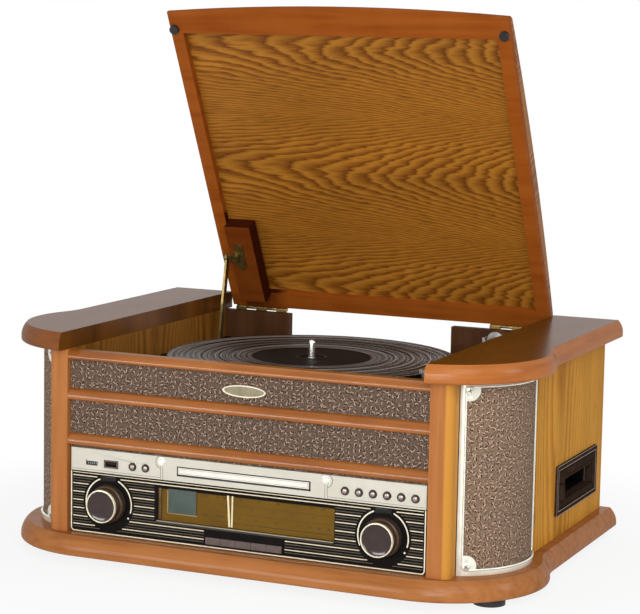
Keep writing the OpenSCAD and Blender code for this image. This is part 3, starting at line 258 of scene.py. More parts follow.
def lid_wood(name):
    """Lid frame: the same lacquered beech, stained darker, with painted shade on the side faces and ends of
    the stay's block and on its face.
    """
    mat, tree = start(name)
    # the block's right end, face and head, in metres
    block_right, block_face, block_head = -0.12, -0.1745, 0.33
    color, streak = lacquer_color(tree, ("#813D0F", "#8C4815", "#944F1A"), (0.03, 0.6, 0.6))
    normal = add(tree, "TexCoord", out="Normal")
    facing_out = add(tree, "Mapping", {"Vector": normal, "Rotation": (LID_OPEN, 0, 0)}, vector_type="VECTOR")
    up = add(tree, "Math", {0: add(tree, "SeparateXYZ", {"Vector": facing_out}, out=2)}, operation="ABSOLUTE")
    side = add(tree, "MapRange", {"Value": up, "From Min": 0.75, "From Max": 0.35})
    axes = add(tree, "SeparateXYZ", {"Vector": place(tree)}, out=None)
    x, _, z = axes.outputs
    left = add(tree, "MapRange", {"Value": x, "From Min": block_right, "From Max": block_right - 0.02})
    low = add(tree, "MapRange", {"Value": z, "From Min": block_head + 0.005, "From Max": block_head})
    shaded_side = add(tree, "Math", {0: side, 1: left}, operation="MULTIPLY")
    dark = add(tree, "Math", {0: shaded_side, 1: low}, operation="MULTIPLY")
    # the block's own face lies in the shade of the lid's corner
    inside = add(tree, "Math", {0: x, 1: block_face}, operation="GREATER_THAN")
    block = add(tree, "Math", {0: left, 1: low}, operation="MULTIPLY")
    near = add(tree, "Math", {0: block, 1: inside}, operation="MULTIPLY")
    dark = add(tree, "Math", {0: near, 1: 0.52, 2: dark}, operation="MULTIPLY_ADD", use_clamp=True)
    color = two(tree, dark, color, "#3A1408")
    close(tree, color, 0.5, streak, 0.01, Specular_IOR_Level=0.0, Coat_Weight=0.12, Coat_Roughness=0.3)
    return mat


def cap_wood(name):
    """Top caps: dark oak veneer on the flat top and the inner cut, orange lacquer round the moulded edge."""
    mat, tree = start(name)
    edge, streak = lacquer_color(tree, ("#9A5826", "#A6622C", "#AE6A34"), (0.15, 0.06, 1))
    axes = add(tree, "SeparateXYZ", {"Vector": place(tree)}, out=None)
    rings = {"thin": 900, "climb": 12, "bend": 5, "sway": 2.0, "jag": 0.5, "calm": 0.3, "dark": "#2A1405",
             "ramp": [(0.0, "#532E0D"), (0.3, "#643A10"), (0.7, "#704213"), (1.0, "#532E0D")]}
    veneer, relief = wood_color(tree, axes.outputs[1], axes.outputs[0], rings, 0.5)
    on_top = add(tree, "Math", {0: axes.outputs[2], 1: (CAP_TOP - 0.05) * MM}, operation="GREATER_THAN")
    width = add(tree, "Math", {0: axes.outputs[0]}, operation="ABSOLUTE")
    on_cut = add(tree, "Math", {0: width, 1: (CUT_X + 0.05) * MM}, operation="LESS_THAN")
    flat = add(tree, "Math", {0: on_top, 1: on_cut}, operation="MAXIMUM")
    # painted shade: the left cap's moulded edge is mixed towards dark brown
    board = add(tree, "MapRange", {"Value": axes.outputs[0], "From Min": 0.0, "From Max": 0.01,
                                   "To Min": 0.55, "To Max": 0.0})
    color = two(tree, flat, two(tree, board, edge, "#3A1A08"), veneer)
    rough = add(tree, "MapRange", {"Value": flat, "To Min": 0.45, "To Max": 0.8})
    close(tree, color, rough, streak, 0.01, Specular_IOR_Level=0.0, Coat_Weight=0.34, Coat_Roughness=0.24)
    return mat


def hooks(tree, grid, cells, shift, radius, thick):
    """Mask of one crescent thread in every cell of a grid, turned its own way and moved by shift."""
    pick = add(tree, "SeparateColor", {"Color": cells.outputs["Color"]}, out=None)
    angle = add(tree, "Math", {0: pick.outputs[0], 1: 2 * math.pi}, operation="MULTIPLY")
    local = add(tree, "VectorMath", {0: grid, 1: cells.outputs["Position"]}, operation="SUBTRACT")
    spun = add(tree, "VectorRotate", {"Vector": local, "Angle": angle}, rotation_type="Z_AXIS")
    moved = add(tree, "VectorMath", {0: spun, 1: shift}, operation="ADD")
    size = add(tree, "VectorMath", {0: moved}, out=1, operation="LENGTH")
    off = add(tree, "Math", {0: size, 1: radius}, operation="SUBTRACT")
    off = add(tree, "Math", {0: off}, operation="ABSOLUTE")
    line = add(tree, "MapRange", {"Value": off, "From Min": thick, "From Max": thick * 0.45})
    side = add(tree, "SeparateXYZ", {"Vector": moved}, out=None)
    half = add(tree, "MapRange", {"Value": side.outputs[0], "From Min": -0.03, "From Max": 0.05})
    level = add(tree, "MapRange", {"Value": pick.outputs[1], "To Min": 0.6, "To Max": 1.0})
    crescent = add(tree, "Math", {0: line, 1: half}, operation="MULTIPLY")
    return add(tree, "Math", {0: crescent, 1: level}, operation="MULTIPLY")


def woven(name, base, tint, bright):
    """Jacquard speaker cloth: a fine weave under pale hooks, each with a painted shadow beside it.

    The pitch of the weave is coarser than the real thread's, so that it shows at all.
    """
    mat, tree = start(name)
    weave_pitch, speck_width, patch_width = 0.85, 1.333, 33.3
    spot = place(tree, source="UV")
    light = dark = None
    # two layers of hooks: millimetres from one to the next, strength, and shift of their grid
    for cell, strength, move in ((5.5, 1.0, (0, 0, 0)), (4.2, 0.5, (3.3, 1.7, 0))):
        grid = add(tree, "Mapping", {"Vector": spot, "Scale": (1 / cell, 1 / cell, 1), "Location": move})
        cells = add(tree, "TexVoronoi", {"Vector": grid, "Scale": 1.0, "Randomness": 0.75}, out=None,
                    voronoi_dimensions="2D")
        pale = hooks(tree, grid, cells, (0, 0, 0), 0.21, 0.1)
        # painted shadow: a dark crescent just beside each pale hook
        deep = hooks(tree, grid, cells, (0.18, -0.12, 0), 0.17, 0.24)
        pale = add(tree, "Math", {0: pale, 1: strength * bright}, operation="MULTIPLY")
        deep = add(tree, "Math", {0: deep, 1: min(1.0, strength + 0.2)}, operation="MULTIPLY")
        light = pale if light is None else add(tree, "Math", {0: light, 1: pale}, operation="MAXIMUM")
        dark = deep if dark is None else add(tree, "Math", {0: dark, 1: deep}, operation="MAXIMUM")
    threads = []
    for axis in (0, 1):
        part = add(tree, "SeparateXYZ", {"Vector": spot}, out=None).outputs[axis]
        wave = add(tree, "Math", {0: part, 1: 2 * math.pi / weave_pitch}, operation="MULTIPLY")
        threads.append(add(tree, "Math", {0: wave}, operation="SINE"))
    weave = add(tree, "Math", {0: threads[0], 1: threads[1]}, operation="MULTIPLY")
    patches = add(tree, "TexNoise", {"Vector": spot, "Scale": 1 / patch_width, "Detail": 2.0})
    speck = add(tree, "TexNoise", {"Vector": spot, "Scale": 1 / speck_width, "Detail": 2.0})
    soft = add(tree, "MapRange", {"Value": patches, "From Min": 0.35, "From Max": 0.65})
    deep = add(tree, "MapRange", {"Value": speck, "From Min": 0.5, "From Max": 0.72, "To Max": 0.6})
    pale = add(tree, "MapRange", {"Value": speck, "From Min": 0.42, "From Max": 0.28, "To Max": 0.25})
    fade = add(tree, "MapRange", {"Value": weave, "From Min": -1.0, "To Min": 0.0, "To Max": 0.16})
    ground = two(tree, soft, base, tint)
    for mask, thread in ((deep, "#2A1C16"), (pale, "#A28C78"), (fade, "#C9B29C")):
        ground = two(tree, mask, ground, thread)
    color = two(tree, light, two(tree, dark, ground, "#0C0603"), "#CFB09A")
    relief = add(tree, "Math", {0: light, 1: 1.2, 2: weave}, operation="MULTIPLY_ADD")
    close(tree, color, 0.9, relief, 0.1, Specular_IOR_Level=0.15)
    return mat


def mat_rubber(name):
    """Moulded black rubber mat: dusty black valleys, ribs lightened with painted sheen and, on a coarser
    wave, painted highlights, teeth that break the light into dashes.
    """
    mat, tree = start(name)
    label_radius, rib_pitch, sheen_pitch, dust_width, teeth_around = 63.0, 3.1, 5.8, 16.67, 170.0
    spot = place(tree, move=(0, -SPINDLE_Y * MM, 0))
    axes = add(tree, "SeparateXYZ", {"Vector": spot}, out=None)
    x, y, z = axes.outputs
    flat = add(tree, "CombineXYZ", {"X": x, "Y": y})
    radius = add(tree, "VectorMath", {0: flat}, out=1, operation="LENGTH")
    outer = add(tree, "Math", {0: radius, 1: label_radius * MM}, operation="GREATER_THAN")
    # the ribs, their teeth and, coarser, the wave of ribs that get a painted highlight
    around = add(tree, "Math", {0: y, 1: x}, operation="ARCTAN2")
    waves = []
    for turning, rate in ((around, teeth_around), (radius, 2 * math.pi / (rib_pitch * MM)),
                          (radius, 2 * math.pi / (sheen_pitch * MM))):
        phase = add(tree, "Math", {0: turning, 1: rate}, operation="MULTIPLY")
        waves.append(add(tree, "Math", {0: phase}, operation="SINE"))
    teeth, ribs, painted_sheen = waves
    wave = add(tree, "Math", {0: ribs, 1: 2.5, 2: teeth}, operation="MULTIPLY_ADD")
    rise = add(tree, "Math", {0: wave, 1: outer}, operation="MULTIPLY")
    rib_highlight = add(tree, "MapRange", {"Value": painted_sheen, "From Min": 0.0, "From Max": 0.8})
    rib_highlight = add(tree, "Math", {0: rib_highlight, 1: outer}, operation="MULTIPLY")
    dust = add(tree, "TexNoise", {"Vector": spot, "Scale": 1 / (dust_width * MM), "Detail": 4.0})
    high = add(tree, "MapRange", {"Value": z, "From Min": (MAT_TOP - 0.8) * MM, "From Max": MAT_TOP * MM})
    # painted sheen on the rib tops, brighter painted highlight where the coarser wave crests
    rib_sheen = two(tree, rib_highlight, two(tree, dust, "#191513", "#25201D"), two(tree, dust, "#685E57", "#8A7E76"))
    color = two(tree, high, two(tree, dust, "#030202", "#080605"), rib_sheen)
    rough = add(tree, "MapRange", {"Value": high, "To Min": 0.6, "To Max": 0.2})
    close(tree, color, rough, rise, 0.1, Specular_IOR_Level=0.1)
    return mat


def masked(name, mask, inside, outside, rough=0.3, **sockets):
    """Plated or enamelled part with two finishes; mask(tree, axes) gives 1 where the inside colours lie."""
    mat, tree = start(name)
    axes = add(tree, "SeparateXYZ", {"Vector": place(tree)}, out=None)
    patch_width = 11.11
    soft = add(tree, "TexNoise", {"Vector": place(tree), "Scale": 1 / (patch_width * MM), "Detail": 3.0})
    level = add(tree, "MapRange", {"Value": soft, "From Min": 0.35, "From Max": 0.65})
    color = two(tree, mask(tree, axes), two(tree, level, *outside), two(tree, level, *inside))
    spread = add(tree, "MapRange", {"Value": soft, "To Min": rough * 0.9, "To Max": rough * 1.1})
    close(tree, color, spread, soft, 0.01, **sockets)
    return mat


def in_oval(tree, axes):
    """1 inside the badge's raised rim."""
    half_w, half_h = 21.6, 4.75
    wide = add(tree, "Math", {0: axes.outputs[0], 1: 1 / (half_w * MM)}, operation="MULTIPLY")
    tall = add(tree, "Math", {0: axes.outputs[2], 1: 1 / (half_h * MM), 2: -BADGE_Z / half_h},
               operation="MULTIPLY_ADD")
    flat = add(tree, "CombineXYZ", {"X": wide, "Y": tall})
    size = add(tree, "VectorMath", {0: flat}, out=1, operation="LENGTH")
    return add(tree, "Math", {0: size, 1: 1.0}, operation="LESS_THAN")


def clear_cover(name):
    """Acrylic dial cover: lets the light through and keeps a faint gloss."""
    mat, tree = start(name)
    haze_width = 33.33
    haze = add(tree, "TexNoise", {"Vector": place(tree), "Scale": 1 / (haze_width * MM), "Detail": 2.0})
    glass = add(tree, "BsdfTransparent", {"Color": rgb("#FAF8F0")})
    rough = add(tree, "MapRange", {"Value": haze, "To Min": 0.03, "To Max": 0.08})
    gloss = add(tree, "BsdfGlossy", {"Color": rgb("#FFFFFF"), "Roughness": rough})
    skin = add(tree, "Math", {0: add(tree, "Fresnel", {"IOR": 1.3}), 1: 0.2}, operation="MULTIPLY")
    both = add(tree, "MixShader", {0: skin, 1: glass, 2: gloss})
    add(tree, "OutputMaterial", {"Surface": both}, out=None)
    return mat


MATERIALS = {
    # stained beech under sprayed lacquer: warm orange brown, broad soft highlights
    "lacquer_x": lacquer("stained_beech_lacquered", ("#92592C", "#9F6434", "#A66B3C")),
    # the rails are polished further, so a bright streak runs along each of them; their stain is set darker
    # than the plinth's as painted shade
    "lacquer_rail": lacquer("stained_beech_rails", ("#83491A", "#925521", "#9C5D28"), coat=0.65, gloss=0.18),
    # the right column's rounded outer edge gets a painted golden sheen
    "lacquer_z": lacquer("stained_beech_column", ("#9A5C2E", "#A36635", "#AA6D3C"), stretch=(1, 1, 0.05),
                         painted_sheen=(209.5, 211.5, "#BC8233")),
    "lacquer_lid": lid_wood("stained_beech_lid_frame"),
    # veneered top that drinks the light beside its lacquered edge
    "cap": cap_wood("oak_veneered_cap"),
    # plain-sawn oak veneer: nested arches, dark open pores, hardly any gloss
    "oak_lid": oak("oak_veneer_lid", OAK, 0, 1,
                   {"thin": 2500, "climb": 37, "bend": 60, "sway": 3.4, "jag": 1.1, "calm": 0.3},
                   (183.0, -68.0, 86.0), turn=LID_OPEN, hinge=HINGE),
    "oak_side": oak("oak_veneer_sides", LIGHT_OAK, 2, 1,
                    {"thin": 1100, "climb": 6, "bend": 3, "sway": 2.2, "jag": 0.4, "calm": 0.5},
                    (-30.0, -150.0, 110.0), rough=0.6, dark="#8A5A18", gloss=0.05),
    "oak_inner": oak("oak_veneer_inner", INNER_OAK, 2, 1,
                     {"thin": 1500, "climb": 9, "bend": 5, "sway": 2.0, "jag": 0.4, "calm": 0.5},
                     (0.0, -70.0, 70.0), rough=0.5),
    # stained hardboard: flat and dark, a little cloudy
    "dark_board": plain("stained_hardboard", "#3E2412", "#50321C", 0.6, size=20, grain=1.2,
                        stretch=(1, 1, 0.2), Specular_IOR_Level=0.08),
    # painted light: the corner cloth is coloured lighter than the front cloth between the rails, as it takes
    # more light
    "cloth": woven("jacquard_speaker_cloth", "#4B3B31", "#534136", 0.85),
    "cloth_side": woven("jacquard_speaker_cloth_sides", "#76604D", "#7D6551", 1.15),
    # painted metal: warm pale grey, near to matt
    "champagne": plain("champagne_painted_metal", "#C6C2B5", "#BFBAAC", 0.4, size=30, grain=0.5, depth=0.004,
                       Metallic=0.1),
    # plated frame: brighter, with a slight metal sheen
    "frame_metal": plain("champagne_plated_frame", "#E6E4D8", "#DAD8C8", 0.32, size=14, grain=0.7,
                         depth=0.004, Metallic=0.25),
    # enamel in a plated rim: dark field, cream edge
    "badge": masked("enamelled_badge", in_oval, ("#8F876E", "#7F775E"), ("#F2EBD2", "#E4DABC"), 0.28,
                    Metallic=0.4),
    # thin plating: small bright lines that catch the light
    "cream": plain("cream_gold_plating", "#F2EAD2", "#E6DCC0", 0.25, size=5, Metallic=0.4),
    "silver": plain("pearl_chrome_plating", "#F2F2E8", "#DCDCCE", 0.25, size=6, depth=0.003, Metallic=0.5),
    # painted shade for grooves and gaps: almost no highlight
    "groove": plain("dark_groove", "#4A453C", "#3A362E", 0.6),
    "shadow": plain("shadow_gap_paint", "#1A1410", "#241C16", 0.6),
    # moulded plastic with a fine grain: deep black, no clear reflection
    "black": plain("black_moulded_plastic", "#070504", "#0E0A08", 0.5, size=12, grain=0.4, depth=0.006,
                   Specular_IOR_Level=0.08),
    # polished plastic: black with sharp small highlights
    "black_gloss": plain("black_polished_plastic", "#080707", "#12100F", 0.2, size=16, depth=0.003,
                         Specular_IOR_Level=0.3),
    # hot-stamped foil on the panel: pale gold and dull bronze lines
    "gold": plain("pale_hot_stamped_line", "#DDD0B6", "#CFC1A4", 0.4, size=5),
    "bronze_line": plain("bronze_hot_stamped_line", "#5E5444", "#504638", 0.45, size=5),
    # knurled plastic: brown, broken into fine light and dark by the knurl
    "knob_skirt": plain("brown_knurled_plastic", "#37261A", "#46321F", 0.35, size=4, grain=0.5,
                        Specular_IOR_Level=0.3),
    # polished plastic: very dark, with a clear reflection in the dish
    "knob_face": plain("brown_polished_plastic", "#241310", "#2E1A15", 0.14, size=12, depth=0.002),
    # moulded keys: taupe, satin
    "key": plain("taupe_moulded_keys", "#4C3E3A", "#5A4A46", 0.4, size=8),
    # printed dial: olive gold, matt, with dark brown marks
    "dial": plain("olive_gold_dial_print", "#76591A", "#6B5016", 0.55, size=40, depth=0.004,
                  Specular_IOR_Level=0.1),
    "dial_mark": plain("brown_dial_marks", "#261906", "#1E1304", 0.5, size=3),
    # painted wall of the window: dull bronze
    "bronze_wall": plain("bronze_painted_window_wall", "#4A3418", "#5A4222", 0.4, size=6),
    # moulded pointer: the brightest thing in the window
    "pointer": plain("cream_pointer_plastic", "#F8F2E0", "#EEE5CB", 0.35, size=3),
    # display film: blue grey and even
    "lcd": plain("display_film", "#52626C", "#495862", 0.4, size=20, depth=0.002, Specular_IOR_Level=0.2),
    # bronze paint, pale
    "ledge": plain("pale_bronze_ledge", "#A89C84", "#978B74", 0.35, size=8, Metallic=0.3),
    # plated, turned and brushed metals: chrome is the brightest, brass the warmest
    "chrome": plain("chromed_steel", "#DAD8D2", "#CCC9C2", 0.25, size=6, depth=0.002, Metallic=1.0),
    "dome": plain("smoked_chrome_dome", "#A89E96", "#8C827A", 0.28, size=6, depth=0.002, Metallic=0.9),
    "steel": plain("brushed_steel", "#A9A8A4", "#96948F", 0.3, size=6, stretch=(1, 0.05, 1), Metallic=1.0),
    "bronze": plain("dark_bronze_ring", "#30241E", "#3C2E26", 0.3, size=2, Metallic=0.3),
    "brass": plain("dark_antique_brass", "#6E5C34", "#967F48", 0.34, size=5, grain=0.6, Metallic=0.85),
    "stay": plain("brass_plated_stay", "#8C7A4C", "#73633C", 0.28, size=8, Metallic=0.95),
    # moulded bezel: brown black and matt, with pale lines along its edges
    "bezel": plain("grey_brown_plastic", "#33261F", "#3D2F27", 0.6, size=8, Specular_IOR_Level=0.0),
    "bezel_edge": plain("pale_bezel_edge", "#8E7E72", "#7A6B60", 0.5, size=5),
    # moulded rubber: black, dull, finely rough
    "rubber": plain("black_rubber", "#0F0E0E", "#1A1918", 0.6, size=4, grain=0.5, depth=0.03),
    # ribbed mat: painted sheen and painted highlights on the ribs over black valleys
    "mat": mat_rubber("moulded_rubber_mat"),
    # cast, painted and plated inner parts: plain greys
    "alloy": plain("cast_aluminium", "#8C8C8A", "#7A7A78", 0.4, size=5, Metallic=0.9),
    "tray": plain("silver_painted_plastic", "#E2DFD6", "#DAD6CB", 0.4, size=12, Metallic=0.05),
    "zinc": plain("zinc_plated_sheet", "#8B8D90", "#7D7F82", 0.38, size=16, Metallic=0.9),
    # pressed paper cone: black and fibrous
    "paper": plain("black_paper_cone", "#1C1B1A", "#2A2826", 0.7, size=5, grain=0.8, depth=0.05),
    # green lacquered board
    "board": plain("green_circuit_board", "#23482C", "#2E5B37", 0.35, size=4),
    # clear acrylic: only its faint gloss is seen
    "clear": clear_cover("acrylic_dial_cover"),
}


# Shapes: each function below makes one kind of form, and each build function one region of the player
def finish_mesh(name, bm, mat, body="cabinet", angle=35, move=None):
    """Turns a bmesh in millimetres into a piece that rides on a CAD body."""
    mesh = bpy.data.meshes.new(name)
    bmesh.ops.recalc_face_normals(bm, faces=bm.faces)
    if move:
        bm.transform(move)
    bm.transform(Matrix.Scale(MM, 4))
    bm.to_mesh(mesh)
    bm.free()
    mesh.polygons.foreach_set("use_smooth", [True] * len(mesh.polygons))
    mesh.set_sharp_from_angle(angle=math.radians(angle))
    piece = bpy.data.objects.new(name, mesh)
    bpy.context.scene.collection.objects.link(piece)
    for one in mat if isinstance(mat, (list, tuple)) else [mat]:
        mesh.materials.append(MATERIALS[one])
    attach(piece, body)
    return piece


def boxes(name, spans, mat, body="cabinet", bevel=0.0, move=None):
    """Many boxes from corner to corner in one piece."""
    bm = bmesh.new()
    for low, high in spans:
        size = [b - a for a, b in zip(low, high)]
        middle = [(a + b) / 2 for a, b in zip(low, high)]
        spot = Matrix.Translation(middle) @ Matrix.Diagonal((*size, 1.0))
        bmesh.ops.create_cube(bm, size=1.0, matrix=spot)
    if bevel:
        bmesh.ops.bevel(bm, geom=list(bm.edges), offset=bevel, segments=2, affect="EDGES", profile=0.6)
    return finish_mesh(name, bm, mat, body, move=move)


def on_front(x0, x1, z0, z1, proud, back=0.1):
    """Corners of a flat bar on the fascia, standing proud of it by so much."""
    return (x0, FASCIA - proud, z0), (x1, FASCIA + back, z1)


def turned(bm, profile, spot, steps=48, knurl=None, slot=0):
    """Adds a lathed form: profile is (radius, height) from the foot up the outside to the middle."""
    rows = []
    for k, (radius, height) in enumerate(profile):
        if radius < 1e-6:
            rows.append([bm.verts.new(spot @ Vector((0, 0, height)))] * steps)
            continue
        ring = []
        for i in range(steps):
            r = radius - (knurl[2] if knurl and knurl[0] <= k <= knurl[1] and i % 2 else 0)
            a = 2 * math.pi * i / steps
            ring.append(bm.verts.new(spot @ Vector((r * math.cos(a), r * math.sin(a), height))))
        rows.append(ring)
    for low, high in zip(rows, rows[1:]):
        for i in range(steps):
            j = (i + 1) % steps
            corners = list(dict.fromkeys([low[i], low[j], high[j], high[i]]))
            if len(corners) > 2:
                bm.faces.new(corners).material_index = slot


def facing(x, y, z):
    """Frame of a form whose own height points to the front."""
    return Matrix.Translation((x, y, z)) @ Matrix.Rotation(math.pi / 2, 4, "X")


def skin(bm, rows):
    """Faces between closed rows of points, each row joined to the next."""
    for low, high in zip(rows, rows[1:]):
        for i in range(len(low)):
            j = (i + 1) % len(low)
            bm.faces.new((low[i], low[j], high[j], high[i]))


def band(bm, centre, r1, r2, a1, a2, y, depth, steps=40):
    """A flat arc on the fascia, from radius r1 to r2 and angle a1 to a2 in degrees."""
    rows = []
    for i in range(steps + 1):
        a = math.radians(a1 + (a2 - a1) * i / steps)
        c, s = math.cos(a), math.sin(a)
        rows.append([bm.verts.new((centre[0] + r * c, y - d, centre[1] + r * s))
                     for r, d in ((r1, 0), (r1, depth), (r2, depth), (r2, 0))])
    skin(bm, rows)
    bm.faces.new(rows[0])
    bm.faces.new(rows[-1][::-1])


def node_span(name):
    """Both corners of a CAD node's box, in millimetres."""
    return [[v / MM for v in corner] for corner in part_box(name)]


def paint(mat, *names, bevel=0.0, segments=2, angle=40):
    """Gives CAD nodes a material and, for looks only, softly broken edges."""
    for name in names:
        node = NODES[name]
        node.data.materials.clear()
        node.data.materials.append(MATERIALS[mat])
        if bevel:
            weld = node.modifiers.new("weld", "WELD")
            weld.merge_threshold = 1e-5
            edge = node.modifiers.new("edge", "BEVEL")
            edge.width = bevel * MM
            edge.segments = segments
            edge.limit_method = "ANGLE"
            edge.angle_limit = math.radians(angle)
            edge.harden_normals = True


def build_front_cloth():
    """Speaker cloth between the rails, laid out in real millimetres."""
    half_w, thick = 194.8, 0.8
    bm = bmesh.new()
    layer = bm.loops.layers.uv.new("UVMap")
    for low, high in ((87.2, 134.8), (147.2, 181.2)):
        corners = [(-half_w, low), (half_w, low), (half_w, high), (-half_w, high)]
        for y in (CLOTH_Y, CLOTH_Y + thick):
            face = bm.faces.new([bm.verts.new((x, y, FLOOR + z)) for x, z in corners])
            for loop, uv in zip(face.loops, corners):
                loop[layer].uv = uv
    front = finish_mesh("front_cloth", bm, "cloth")
    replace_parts(front, "cloth_panels")


def build_corner_cloth():
    """The same cloth bent round the speaker corners, inside their frames."""
    steps, margin, shift = 40, 0.6, 400
    first, last = FRAME_ANGLES[0] + margin, FRAME_ANGLES[1] - margin
    for side, word in SIDES:
        bm = bmesh.new()
        layer = bm.loops.layers.uv.new("UVMap")
        for radius in (75.7, 76.4):
            rows = []
            for i in range(steps + 1):
                a = math.radians(first + (last - first) * i / steps)
                x, y = CORNER[0] + radius * math.cos(a), CORNER[1] + radius * math.sin(a)
                heights = (FLOOR + 0.5, CAP - 0.5)
                rows.append([(bm.verts.new((side * x, y, z)), a * radius, z) for z in heights])
            for a, b in zip(rows, rows[1:]):
                ring = [a[0], b[0], b[1], a[1]]
                face = bm.faces.new([v for v, _, _ in ring])
                for loop, (_, u, v) in zip(face.loops, ring):
                    loop[layer].uv = (side * u + shift, v)
        finish_mesh("corner_cloth_" + word, bm, "cloth_side")


def build_frame_beads():
    """Rolled bright edge round the opening of each speaker frame."""
    border, steps = 5.5, 30
    # half round section: how far it stands out of the frame, and where across the bead
    section = ((-0.3, -1.1), (0.8, -0.9), (1.3, 0), (0.8, 0.9), (-0.3, 1.1))
    a1 = math.radians(FRAME_ANGLES[0]) + border / FRAME_R
    a2 = math.radians(FRAME_ANGLES[1]) - border / FRAME_R
    low, high = FLOOR + border, CAP - border
    for side, word in SIDES:
        bm = bmesh.new()
        runs = [[(a1 + (a2 - a1) * i / steps, z) for i in range(steps + 1)] for z in (low, high)]
        runs += [[(a, low), (a, high)] for a in (a1, a2)]
        for run in runs:
            level = run[0][1] == run[-1][1]
            rows = []
            for a, z in run:
                ring = []
                for out, off in section:
                    turn = a if level else a + off / FRAME_R
                    radius = FRAME_R + out
                    x, y = CORNER[0] + radius * math.cos(turn), CORNER[1] + radius * math.sin(turn)
                    ring.append(bm.verts.new((side * x, y, z + (off if level else 0))))
                rows.append(ring)
            skin(bm, rows)
        finish_mesh("frame_bead_" + word, bm, "silver", angle=60)


def line_spans(z, height, depth):
    """A printed line over the dial panel, broken at the knobs, the window and the keys."""
    knob_clear = 29.0
    holes = []
    rise = abs(FLOOR + z - KNOB_Z)
    if rise < knob_clear:
        half = math.sqrt(knob_clear ** 2 - rise ** 2)
        holes += [(side * KNOB_X - half, side * KNOB_X + half) for side, _ in SIDES]
    for foot, head, left, right in (WINDOW_GAP, KEYS_GAP):
        if foot < z < head:
            holes.append((left, right))
    spans, x = [], -HALF_W
    for low, high in sorted(holes) + [(HALF_W, HALF_W)]:
        if low > x:
            spans.append(on_front(x, low, FLOOR + z - height / 2, FLOOR + z + height / 2, depth))
        x = max(x, high)
    return spans


def build_lines():
    """Gold lines over the dial panel, two thin bronze ones in each gap, and the gold line above them all."""
    top, pitch, third = 58.7, 8.35, 2.78
    gold, bronze = [], []
    for k in range(7):
        z = top - pitch * k
        gold += line_spans(z, 1.0, 0.14)
        for j in (1, 2):
            if z - third * j > 4:
                bronze += line_spans(z - third * j, 0.6, 0.1)
    gold.append(on_front(-HALF_W, HALF_W, FLOOR + 61.5, FLOOR + 62.2, 0.14))
    boxes("gold_lines", gold, "gold")
    boxes("bronze_lines", bronze, "bronze_line")


def build_border():
    """Pale border line: down both ends, round the lower corners and along the foot."""
    x, z, r1, r2, depth = 188.4, FLOOR + 5.1, 2.9, 4.1, 0.35
    bm = bmesh.new()
    for side, _ in SIDES:
        first = 270 if side > 0 else 180
        band(bm, (side * x, z), r1, r2, first, first + 90, FASCIA, depth, steps=10)
    finish_mesh("border_corners", bm, "cream")
    spans = [on_front(-x, x, z - r2, z - r1, depth)]
    for side, _ in SIDES:
        middle, half = side * (x + (r1 + r2) / 2), (r2 - r1) / 2
        spans.append(on_front(middle - half, middle + half, z, FLOOR + 63, depth))
    boxes("border_line", spans, "cream")


def build_knob_scales():
    """Two arcs and an end dot round each knob, and the black plate above it."""
    inner, outer, dot_radius, dot_angle = 25.3, 26.6, 26, math.radians(-30)
    bm = bmesh.new()
    for side, _ in SIDES:
        centre = (side * KNOB_X, KNOB_Z)
        for first, last in ((112, 205), (66, -17)):
            band(bm, centre, inner, outer, first, last, FASCIA, 0.15)
        spot = facing(centre[0] + dot_radius * math.cos(dot_angle), FASCIA,
                      centre[1] + dot_radius * math.sin(dot_angle))
        turned(bm, [(1.0, 0), (1.0, 0.3), (0, 0.4)], spot, steps=16)
    finish_mesh("knob_scales", bm, "cream")
    foot, head, half_w = KNOB_Z + 22.6, KNOB_Z + 27.4, 8.5
    plates = [on_front(side * KNOB_X - half_w, side * KNOB_X + half_w, foot, head, 0.5, 0)
              for side, _ in SIDES]
    boxes("scale_plates", plates, "black_gloss", bevel=0.4)


def build_strip_grooves():
    """Grooves that part the silver strip under the studs, its lower edge line and the arc round each stud."""
    cut = []
    for side, _ in SIDES:
        for off in (-1.3, 1.3):
            x = side * STUD_X + off
            cut.append(on_front(x - 0.2, x + 0.2, FLOOR + 64, FLOOR + 76.6, 0.05))
        left, right = sorted((side * 90.5, side * 191.5))
        cut.append(on_front(left, right, FLOOR + 65.4, FLOOR + 65.75, 0.05))
    boxes("strip_grooves", cut, "groove")
    bm = bmesh.new()
    for side, _ in SIDES:
        first, last = (-78, 60) if side > 0 else (258, 120)
        band(bm, (side * STUD_X, STUD_Z), 6.3, 6.8, first, last, FASCIA, 0.05)
    finish_mesh("stud_grooves", bm, "groove")


def build_tray_gap():
    """Line stamped on the tray's front, painted shadow round it and dark sheets of painted shade inside the
    slit.
    """
    half, low, top = TRAY
    outline_bars = (
        (-half + 0.9, half - 0.9, top - 1.2, top - 0.95), (-half + 0.9, half - 0.9, low + 0.95, low + 1.2),
        (-half + 0.9, -half + 1.2, low + 1, top - 1), (half - 1.2, half - 0.9, low + 1, top - 1))
    boxes("tray_outline", [on_front(*bar, 0.04) for bar in outline_bars], "groove", body="tray")
    # painted shadow round the tray, widest at the foot and at the right end
    gap_bars = (
        (-half - 1.2, half + 1.9, low - 1.8, low - 0.05), (-half - 0.9, half + 1.4, top + 0.05, top + 0.6),
        (-half - 1.2, -half - 0.05, low - 1.3, top + 0.6), (half + 0.05, half + 1.9, low - 1.8, top + 0.6))
    boxes("tray_gap", [on_front(*bar, 0.05) for bar in gap_bars], "shadow")
    # painted shade: dark sheets inside the slit round the tray
    slit, reach, near, deep = 0.15, 1.0, FASCIA + 0.2, FASCIA + 2.6
    left, right, foot, head = -half - reach, half + reach, low - reach, top + reach
    lining = ((left, right, top + slit, head), (left, right, foot, low - slit),
              (left, -half - slit, foot, head), (half + slit, right, foot, head))
    boxes("gap_shadow_sheet", [((x0, near, z0), (x1, deep, z1)) for x0, x1, z0, z1 in lining], "shadow")


